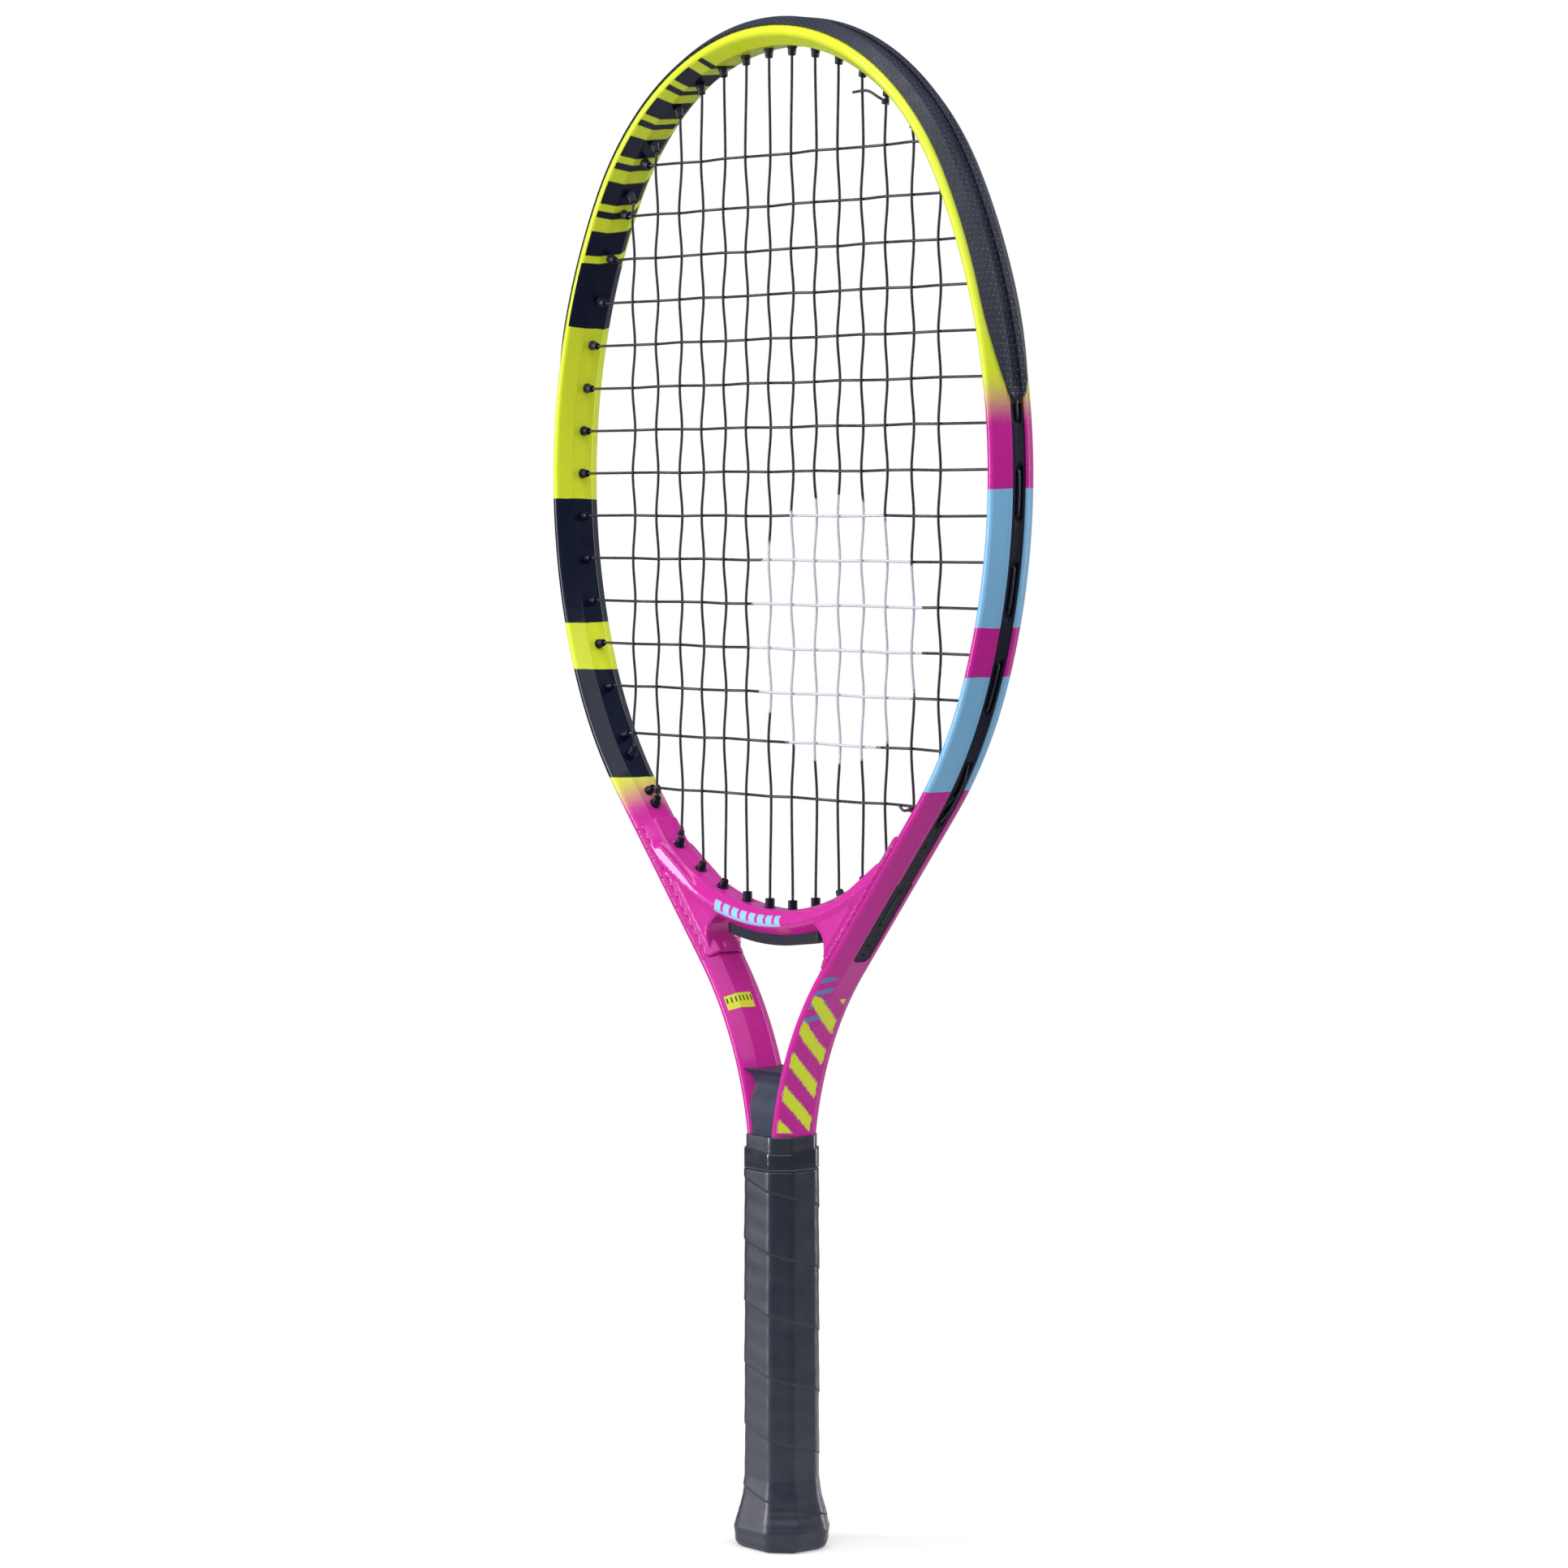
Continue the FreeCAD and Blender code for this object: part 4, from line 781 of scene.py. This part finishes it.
def tucked(grommet, shift, sense):
    """A string's last end, bent into the channel."""
    s, point = grommet.exit(string_floor)
    return [grommet.tip, point] + [at(s + sense * r, run_offset, shift * k) for r, k in ((0.9, 0.35), (2.6, 1.0))]


def between(first, second, others):
    """Whether another string's hole opens between these two."""
    low, high = sorted((first.exit(string_floor)[0], second.exit(string_floor)[0]))
    return any(low < g.exit(string_floor)[0] < high for g in others)


def woven(anchors):
    """Smooth wave through the crossings; the ends lead straight to the grommets."""
    points = []
    for a, b in zip(anchors, anchors[1:]):
        for k in range(6):
            t = k / 6
            wave = (1 - math.cos(math.pi * t)) / 2
            p = a.lerp(b, t)
            p.y = a.y + (b.y - a.y) * wave
            points.append(p)
    return points + [anchors[-1]]


def over(index, row):
    """1 where the main string passes behind the cross string, -1 where it passes in front."""
    return 1 if (index + row) % 2 == 0 else -1


def main_strings():
    shell = Shell()
    for index, x in enumerate(all_mains):
        side = 1 if x > 0 else -1
        k = columns.index(abs(x))
        top = top_grommets[k]
        low = Vector((x, 0, low_tip(x)))
        sway = [Vector((x + 0.10 * math.sin(2.3 * r + index), WEAVE * over(index, r), z))
                for r, z in enumerate(crosses) if meets(x, r)]
        line = woven(flip([top.tip], side) + sway + [low])
        if k < 2:
            end = [Vector((x, 0, low.z - 5.0))]
        else:
            end = flip([low_grommets[k - 2].tip + low_grommets[k - 2].direction * 5], side)
        shell.thread(flip([top.tip + top.direction * 5], side) + line + end, STRING)
    loops = [top_grommets[k:k + 2] for k in (1, 3, 5)] + [low_grommets[1:3]]
    for first, second in loops:
        run = outside_run(first, second, -SHIFT if between(first, second, side_grommets) else 0)
        shell.thread(run, STRING)
        shell.thread(flip(run), STRING)
    reach = top_grommets[0].exit(string_floor)[0]
    shell.thread([at(s or NEAR_CROWN, run_offset) for s in ramp(-reach, reach, 2.0)], STRING)
    for side in (-1, 1):
        shell.thread(flip(tucked(low_grommets[-1], -SHIFT, 1), side), STRING)
    shell.piece("main_strings_woven", THREAD, "string", "main_string", weighted=False, sharp=60)


def cross_strings():
    shell = Shell()
    for row, z in enumerate(crosses):
        grommet = side_grommets[row]
        line = [Vector((x, -WEAVE * over(i, row), z + 0.15 * math.sin(1.7 * i + row)))
                for i, x in enumerate(all_mains) if meets(x, row)]
        ends = grommet.tip + grommet.direction * 5
        anchors = flip([grommet.tip]) + line + [grommet.tip]
        shell.thread(flip([ends]) + woven(anchors) + [ends], STRING)
    side = 1
    shell.thread(tucked(side_grommets[0], SHIFT, -1), STRING)
    for first, second in zip(side_grommets, side_grommets[1:]):
        side = -side
        shift = SHIFT if between(first, second, top_grommets + low_grommets) else 0
        shell.thread(flip(outside_run(first, second, shift), side), STRING)
    shell.thread(flip(tucked(side_grommets[-1], SHIFT, -1), -side), STRING)
    shell.piece("cross_strings_woven", THREAD, "string", "cross_string", weighted=False, sharp=60)


def knots():
    """Half hitches with short loose tails where the strings are tied off."""
    shell = Shell()
    size, turns, steps = 0.95, 2.3, 40

    def hitch(middle):
        points = []
        for k in range(steps + 1):
            t = k / steps
            angle = turns * 2 * math.pi * t
            points.append(middle + Vector((math.cos(angle), math.sin(angle), (t - 0.5) * 1.9)) * size)
        shell.thread(points, STRING * 0.95, 8)

    def tail(points):
        """Strand on a smooth curve through the points."""
        smooth = []
        for k in range(len(points) - 1):
            p0, p1, p2, p3 = points[max(k - 1, 0)], points[k], points[k + 1], points[min(k + 2, len(points) - 1)]
            for j in range(8):
                t = j / 8
                smooth.append(0.5 * ((2 * p1) + (p2 - p0) * t + (2 * p0 - 5 * p1 + 4 * p2 - p3) * t * t
                                     + (3 * p1 - p0 - 3 * p2 + p3) * t ** 3))
        shell.thread(smooth + [points[-1]], STRING, 8)

    def above(x):
        return Vector((x, -0.3, low_tip(x) + 1.9))

    top = Vector((columns[4], -0.3, top_grommets[4].tip.z - 1.6))
    hitch(top)
    tail([top] + [top + Vector(step) for step in ((-2.4, -1.3, 1.6), (-7.5, -1.9, 4.0), (-14.6, -2.1, 3.9))])
    x, z = columns[5], crosses[-1]
    low = above(x)
    hitch(low)
    tail([Vector((x - 6.0, -1.1, z + 0.4)), Vector((x - 3.2, -1.3, z - 1.6)), low, low + Vector((2.6, -0.6, -2.2))])
    for x in (-columns[5], -columns[4]):
        spot = above(x)
        hitch(spot)
        tail([spot, spot + Vector((1.2, -1.5, 0.6)), spot + Vector((3.2, -1.6, 2.2))])
    shell.piece("string_knots", THREAD, "string", "tie_off_knots", weighted=False, sharp=60)


# ---------------------------------------------------------------- grommets, strips and bumper

def barrel(shell, grommet, side, collar=False):
    """Hollow tapered barrel from its open tip down into the frame."""
    tip, direction = flip([grommet.tip, grommet.direction], side)
    profile = [(2.6, 0.62), (0.25, 0.74), (0.0, 0.95), (0.05, 1.2), (0.3, 1.33), (1.3, 1.45), (2.35, 1.55)]
    if collar:
        profile += [(2.4, 1.9), (2.55, 2.05), (2.95, 2.05), (3.1, 1.95)]
    else:
        profile += [(2.5, 1.7), (2.9, 1.78), (3.15, 1.78)]
    shell.lathe(tip, direction, profile + [(3.3, 1.62), (4.5, 1.6)], 20)


def eyelet(shell, grommet, side):
    """Low rim round a hole in the channel floor."""
    s, point = grommet.exit(string_floor)
    axis = outward(s)
    middle, axis = flip([point - axis * 0.05, axis], side)
    shell.lathe(middle, axis, [(0.0, 1.35), (0.22, 1.3), (0.3, 1.1), (0.24, 0.85), (-0.4, 0.75)], 18)


def facet_point(along, out):
    """So far down the outer facet from the flat's edge, so far out from the metal."""
    run = Vector((-HALF_WIDTH, APEX - HALF_FLAT)).normalized()
    normal = Vector((run.y, -run.x))
    point = Vector((HALF_WIDTH, HALF_FLAT)) + run * along + normal * out
    return point.x, point.y


TONGUE = 36.0  # length over which the bumper's lips draw back
TONGUE_HALF = 2.85
LIP_REACH = HALF_FLAT + 4.2


def bumper_ring(station):
    """Bumper section; towards its ends the wrapped lips draw back to a blunt tongue."""
    left_over = max(0.0, bumper_end - abs(station))
    share = min(1.0, left_over / TONGUE)
    reach = TONGUE_HALF + (LIP_REACH - TONGUE_HALF) * math.sin(share * math.pi / 2) ** 0.85
    tip = math.sqrt(max(0.0, 1 - max(0.0, 1 - left_over / 2.6) ** 2))
    reach *= max(tip, 0.12)
    skin = 0.25 + 0.75 * tip
    outer = HALF_WIDTH + skin
    inner = HALF_WIDTH + 0.06
    lip = max(0.0, reach - HALF_FLAT - 0.35)
    half = min(reach, HALF_FLAT + 0.35)
    if lip > 0:
        over, under = facet_point(lip + 0.35, skin), facet_point(lip + 0.35, 0.06)
    else:
        over, under = (outer - 0.3, half + 0.05), (HALF_WIDTH + 0.02, half + 0.04)
    channel = min(CHANNEL, half * 0.62)
    deep = string_floor if left_over > 5 else outer - 0.4
    top = [(deep, channel, 0), (outer, channel, 0.25), (outer, half, min(0.9, 0.2 + lip * 0.5)), over + (0.05,),
           under + (0,), (inner, min(HALF_FLAT, half) * 0.9, 0), (inner, channel * 0.5, 0)]
    outline = rounded(top + [(n, -y, r) for n, y, r in reversed(top)])
    return [at(station, p.x, p.y) for p in outline], lengths_round(outline)


def bumper():
    shell = Shell()
    half = ramp(0.0, bumper_end - TONGUE, 2.0) + ramp(bumper_end - TONGUE + 1, bumper_end - 0.2, 0.7)
    stations = mirrored(half)
    sections = [bumper_ring(s or NEAR_CROWN) for s in stations]
    around = max((lengths for _, lengths in sections), key=lambda lengths: lengths[-1])
    shell.grid([ring for ring, _ in sections], stations, around, caps=(True, True))
    for grommet in side_grommets + top_grommets:
        if grommet.station < bumper_end:
            for side in (-1, 1):
                barrel(shell, grommet, side)
                eyelet(shell, grommet, side)
    shell.piece("bumper_textured", BUMPER, "bumper_plastic", "bumper_guard", sharp=42)


def strip(side):
    """Side strip: slots for the cross strings' outer runs, a wide rounded tail, barrels and eyelets."""
    start = bumper_end + 0.8
    base = groove_floor + 0.05
    crown = base + 1.55
    stations = (ramp(start, tail_top - 0.4, 1.0) + ramp(tail_top, tail_round, 1.0)
                + ramp(tail_round + 0.2, tail_bottom - 0.1, 0.2))
    slots = [sorted(g.exit(string_floor)[0] for g in side_grommets[row:row + 2])
             for row in range(len(crosses) - 1) if (row % 2 == 1) == (side > 0)]
    rings, around = [], None
    for s in stations:
        half = max(groove_at(s)[0] - 0.16, 0.12)
        inside = max(min(s - a, b - s) for a, b in slots) + 1.6
        cut = max(0.0, min(1.0, inside / 1.2))
        inner = min(CHANNEL, half * 0.62) * (0.45 + 0.55 * math.sin(cut * math.pi / 2))
        floor = crown - 0.03 - (crown - 0.03 - string_floor) * cut
        edge = [(base, half, 0), (crown, half, 0.22), (crown, inner, 0.12), (floor, inner, 0)]
        outline = rounded(edge + [(n, -y, r) for n, y, r in reversed(edge)], steps=3)
        rings.append([at(s * side, p.x, p.y) for p in outline])
        around = around or lengths_round(outline)
    shell = Shell()
    shell.grid(rings, stations, around, caps=(True, True))
    for grommet in [g for g in side_grommets if g.station >= bumper_end] + low_grommets:
        barrel(shell, grommet, side, collar=grommet in low_grommets)
        eyelet(shell, grommet, side)
    nubs = [g.exit(string_floor)[0] for g in side_grommets[-2:] + low_grommets]
    for s in nubs + [tail_bottom - 18.0, tail_bottom - 7.5]:
        shell.lathe(at(s * side, crown - 0.2), outward(s * side),
                    [(0.0, 0.62), (0.3, 0.58), (0.44, 0.4), (0.5, 0.1)], 14)
    name = ("right" if side > 0 else "left") + "_grommet_strip"
    shell.piece(name + "_channelled", NYLON, "grommet_plastic", name, sharp=42)


# ---------------------------------------------------------------- handle

def octagon(width, depth, bevel, radius):
    """Corners of the handle's section."""
    across, through = width / 2, depth / 2
    return [(across - bevel, -through, radius), (across, bevel - through, radius),
            (across, through - bevel, radius), (across - bevel, through, radius),
            (bevel - across, through, radius), (-across, through - bevel, radius),
            (-across, bevel - through, radius), (bevel - across, -through, radius)]


def evenly(outline, count):
    """The outline again with evenly spaced points and its outward normals, and the way round it."""
    closed = outline + outline[:1]
    lengths = lengths_round(outline)
    total, points, k = lengths[-1], [], 0
    for j in range(count):
        goal = total * j / count
        while lengths[k + 1] < goal:
            k += 1
        share = (goal - lengths[k]) / max(lengths[k + 1] - lengths[k], 1e-9)
        points.append(closed[k].lerp(closed[k + 1], share))
    normals = []
    for j in range(count):
        along = (points[(j + 1) % count] - points[j - 1]).normalized()
        normals.append(Vector((along.y, -along.x)))
    return list(zip(points, normals)), total


GRIP_WIDTH, GRIP_DEPTH, GRIP_BEVEL = 25.2, 22.6, 5.65
# height and how much wider the wrapped butt is there than the wrapped handle
BUTT = [(0.6, 3.4), (1.1, 4.6), (2.4, 5.7), (5.0, 5.95), (7.0, 6.6), (9.5, 5.6), (12.5, 4.0), (15.5, 2.6),
        (18.5, 1.4), (21.5, 0.6), (25.0, 0.0)]


def butt_growth(z):
    for (z0, g0), (z1, g1) in zip(BUTT, BUTT[1:]):
        if z <= z1:
            t = max(0.0, (z - z0) / (z1 - z0))
            t = t * t * (3 - 2 * t) * 0.4 + t * 0.6
            return g0 + (g1 - g0) * t
    return 0.0


def grip():
    """Sleeve of leather wound in a spiral: each turn stands proud at its lower edge."""
    count = 144
    low, high = cap_low.z + 0.6, wrap_high.z
    rings, heights = [], [low] + ramp(low + 0.3, high - 0.4, 0.4) + [high - 0.02]
    for z in heights:
        grow = butt_growth(z)
        corners = octagon(GRIP_WIDTH + grow * 1.3, GRIP_DEPTH + grow * 0.93, GRIP_BEVEL + grow * 0.29,
                          3.4 + grow * 0.3)
        edge = -0.35 * max(0.0, 1 - (high - z) / 0.5) ** 2
        ring = []
        for p, normal in evenly(rounded(corners, 6), count)[0]:
            angle = math.degrees(math.atan2(p.x, -p.y))
            turn = ((WRAP_PHASE - WRAP_PITCH * angle / 360 - z) / WRAP_PITCH) % 1.0
            width = turn * WRAP_PITCH
            lap = 0.30 * turn ** 1.6 - 0.02
            seam = -0.12 * math.exp(-(width / 0.35) ** 2) - 0.05 * math.exp(-((WRAP_PITCH - width) / 0.26) ** 2)
            pulled = 0.06 * math.sin(math.radians(3 * angle) + z * 0.31) * math.sin(z * 0.47 - math.radians(angle))
            q = p + normal * (lap - 0.06 + seam + pulled + edge)
            ring.append(Vector((q.x, q.y, z)))
        rings.append(ring)
    bottom, top = [[Vector((p.x * 0.9, p.y * 0.9, p.z)) for p in ring] for ring in (rings[0], rings[-1])]
    perimeter = 78.0
    around = [perimeter * j / count for j in range(count + 1)]
    shell = Shell()
    shell.grid([bottom] + rings + [top], [heights[0] - 1] + heights + [heights[-1] + 1], around)
    shell.piece("grip_wrap_spiral", LEATHER, "grip_skin", "grip_wrap", sharp=70, weighted=False)


def sleeve(name, material, slot, node, width, depth, bevel, low, top_edge, wall, round_top):
    """Octagonal band with a rounded upper edge that may run at a slant."""
    count = 120
    points, total = evenly(rounded(octagon(width, depth, bevel, 1.9), 5), count)

    def ring(inset, lift):
        made = []
        for p, normal in points:
            q = p - normal * inset
            made.append(Vector((q.x, q.y, lift(top_edge(math.atan2(p.x, -p.y))))))
        return made

    layers = [(wall, lambda t: low), (0.12, lambda t: low), (0.0, lambda t: low + 0.15)]
    layers += [(0.0, lambda t, k=k: low + 0.15 + (t - round_top - low - 0.15) * k / 6) for k in range(1, 7)]
    layers += [(round_top * (1 - math.cos(a)), lambda t, a=a: t - round_top + round_top * math.sin(a))
               for a in (math.pi / 8, math.pi / 4, 3 * math.pi / 8, math.pi / 2)]
    layers += [(wall, lambda t: t - 0.02)]
    rings = [ring(inset, lift) for inset, lift in layers]
    shell = Shell()
    shell.grid(rings, list(range(len(rings))), [total * j / count for j in range(count + 1)])
    shell.piece(name, material, slot, node, sharp=70, weighted=False)


def tape_edge(angle):
    """The tape's end leaves a slanting edge that is lowest at the front right corner."""
    turn = math.cos(angle - math.radians(48))
    return tape_high.z - 0.55 - 1.35 * max(0.0, turn) ** 3 + 0.35 * max(0.0, -turn)


def collar_edge(angle):
    return collar_high.z - 0.05 - 0.12 * math.cos(angle - 0.6)


def inner_offset(y):
    """How far inside the centreline the tube's surface lies at that depth."""
    return min(HALF_WIDTH, HALF_WIDTH * (APEX - y) / (APEX - HALF_FLAT))


def wedge():
    """Filler between the shafts whose faces are hollowed just below the top edge."""
    top, bottom, half = wedge_high.z, wedge_low.z, wedge_high.y
    # so far below the top edge, so far in from the face
    hollow = [(17.0, 0.0), (14.5, 0.05), (12.4, 0.3), (10.4, 0.9), (8.4, 1.8), (6.4, 2.5), (4.6, 2.75), (3.0, 2.5),
              (1.6, 1.8), (0.7, 0.9), (0.15, 0.25), (0.0, 0.4)]
    profile = [(bottom, half)] + [(top - drop, half - cut) for drop, cut in hollow] + [(top, 0.0)]
    dense = []
    for (z0, y0), (z1, y1) in zip(profile, profile[1:]):
        steps = 1 if abs(z1 - z0) < 0.3 else 3
        dense += [(z0 + (z1 - z0) * k / steps, y0 + (y1 - y0) * k / steps) for k in range(steps)]
    dense.append(profile[-1])
    columns_across = 13
    shell = Shell()
    for side in (-1, 1):
        rows = []
        for k in range(columns_across):
            share = k / (columns_across - 1) * 2 - 1
            rows.append([Vector((share * (centre(station_at(z))[0] - inner_offset(y) + 0.2), side * y, z))
                         for z, y in dense])
        shell.grid(rows, [k * 1.5 for k in range(columns_across)], [z for z, _ in dense], closed=False)
    shell.piece("throat_wedge_scooped", WEDGE, "wedge_plastic", "shaft_wedge", sharp=40, weighted=False)


def smooth_bridge():
    """The moulded bridge with the soft fillets of a lacquered casting."""
    made = placed("bridge_moulded", nodes["throat_bridge"].data.copy())
    made.data.materials.clear()
    made.data.materials.append(BRIDGE)
    remesh = made.modifiers.new("remesh", "REMESH")
    remesh.mode, remesh.voxel_size, remesh.use_smooth_shade = "VOXEL", 0.5 * MM, True
    ease = made.modifiers.new("ease", "SMOOTH")
    ease.factor, ease.iterations = 0.5, 14
    fill = made.modifiers.new("fill", "DISPLACE")
    fill.strength, fill.mid_level = 0.16 * MM, 0.0
    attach(made, "root")
    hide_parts("throat_bridge")


# ---------------------------------------------------------------- pieces

frame_tube()
main_strings()
cross_strings()
knots()
bumper()
strip(1)
strip(-1)
grip()
sleeve("finishing_tape_gloss", VINYL, "tape_vinyl", "finishing_tape", GRIP_WIDTH, GRIP_DEPTH, GRIP_BEVEL,
       tape_low.z, tape_edge, 0.7, 0.3)
sleeve("collar_moulded", RUBBER, "collar_rubber", "grip_collar", 23.8, 21.2, 5.25,
       collar_low.z, collar_edge, 5.0, 0.5)
wedge()
smooth_bridge()

steel = Finish("staple_wire", Metallic=1.0)
steel.colour(steel.mix(steel.noise(steel.place, 900.0, 3.0), srgb(170, 170, 176), srgb(205, 205, 210)))
steel.rough(steel.vary(1500.0, 2.0, 0.25, 0.4))
for name, material in (("throat_grommet_strip", NYLON), ("butt_cap", CAP), ("end_badge", BADGE),
                       ("front_handle_shell", SHELLS), ("rear_handle_shell", SHELLS),
                       ("butt_cap_staples", steel.material)):
    for slot in nodes[name].material_slots:
        slot.material = material
    nodes[name].data.shade_smooth()
    nodes[name].data.set_sharp_from_angle(angle=math.radians(24))

# ---------------------------------------------------------------- floor, light and camera

floor_mesh = bpy.data.meshes.new("floor")
floor_mesh.from_pydata([(-9, -9, 0), (9, -9, 0), (9, 9, 0), (-9, 9, 0)], [], [(0, 1, 2, 3)])
floor = placed("floor", floor_mesh)
pale = Finish("pale_floor")
pale.colour(pale.mix(pale.noise(pale.place, 3.0, 2.0), (0.94, 0.94, 0.94, 1.0), (0.96, 0.96, 0.96, 1.0)))
pale.rough(0.9)
pale.shader.inputs["Emission Color"].default_value = (1.0, 1.0, 1.0, 1.0)
pale.shader.inputs["Emission Strength"].default_value = 0.12
x, y, _ = pale.split(pale.place)
pale.put(pale.fit(pale.radius(x, y), 0.03, 0.6, 0.7, 0.0, smooth=True), pale.shader.inputs["Alpha"])
floor_mesh.materials.append(pale.material)

AZIMUTH = math.radians(51.0)
toward = Vector((math.sin(AZIMUTH), -math.cos(AZIMUTH), 0))
right = Vector((math.cos(AZIMUTH), math.sin(AZIMUTH), 0))
middle = (cad_box[0] + cad_box[1]) / 2

world = bpy.data.worlds.new("studio")
world.use_nodes = True
tree = world.node_tree
dim = tree.nodes["Background"]
dim.inputs[0].default_value, dim.inputs[1].default_value = (0.94, 0.97, 1.0, 1.0), 0.22
bright = tree.nodes.new("ShaderNodeBackground")
bright.inputs[0].default_value, bright.inputs[1].default_value = (1.0, 1.0, 1.0, 1.0), 1.0
seen = tree.nodes.new("ShaderNodeLightPath")
choose = tree.nodes.new("ShaderNodeMixShader")
tree.links.new(seen.outputs["Is Camera Ray"], choose.inputs[0])
tree.links.new(dim.outputs[0], choose.inputs[1])
tree.links.new(bright.outputs[0], choose.inputs[2])
tree.links.new(choose.outputs[0], tree.nodes["World Output"].inputs[0])
bpy.context.scene.world = world


def softbox(name, place, width, height, radiance):
    """Area light aimed at the racket's middle height, unseen by the camera."""
    light = bpy.data.lights.new(name, "AREA")
    light.shape, light.size, light.size_y = "RECTANGLE", width, height
    light.energy = math.pi * width * height * radiance
    made = placed(name, light)
    made.location = place
    made.rotation_euler = (Vector((0, 0, middle.z)) - Vector(place)).to_track_quat("-Z", "Y").to_euler()
    made.visible_camera = False


softbox("key_right_rear", -toward * 0.9 + right * 2.0 + Vector((0, 0, 0.7)), 0.5, 1.8, 10.0)
softbox("left", toward * 0.2 - right * 2.0 + Vector((0, 0, 0.7)), 0.5, 1.7, 14.0)
softbox("front_left", toward * 1.4 - right * 1.7 + Vector((0, 0, 1.4)), 1.2, 1.4, 1.5)
softbox("front_right_high", toward * 1.5 + right * 1.3 + Vector((0, 0, 1.9)), 1.7, 1.3, 2.0)
softbox("front_high", toward * 2.1 - right * 0.2 + Vector((0, 0, 2.2)), 2.4, 1.7, 1.6)
softbox("top", Vector((0.2, -0.2, 2.3)), 1.4, 1.4, 3.4)

DISTANCE, RISE = 1.71, 0.0969  # from the racket's axis, and above its middle
HORIZON = 0.128  # above the lens axis, as a share of the picture's width
ROLL = math.radians(-0.06)
camera = bpy.data.cameras.new("camera")
camera.sensor_width, camera.lens = 36.0, 112.75
camera.shift_x, camera.shift_y = 0.0018, -0.048
tilt = math.atan(HORIZON * camera.sensor_width / camera.lens)
viewer = placed("camera", camera)
viewer.location = toward * DISTANCE + Vector((0, 0, middle.z + RISE))
turn = Matrix.Rotation(AZIMUTH, 3, "Z") @ Matrix.Rotation(math.pi / 2 - tilt, 3, "X")
viewer.rotation_euler = (turn @ Matrix.Rotation(ROLL, 3, "Z")).to_euler()
bpy.context.scene.camera = viewer
bpy.context.scene.view_settings.view_transform = "Standard"
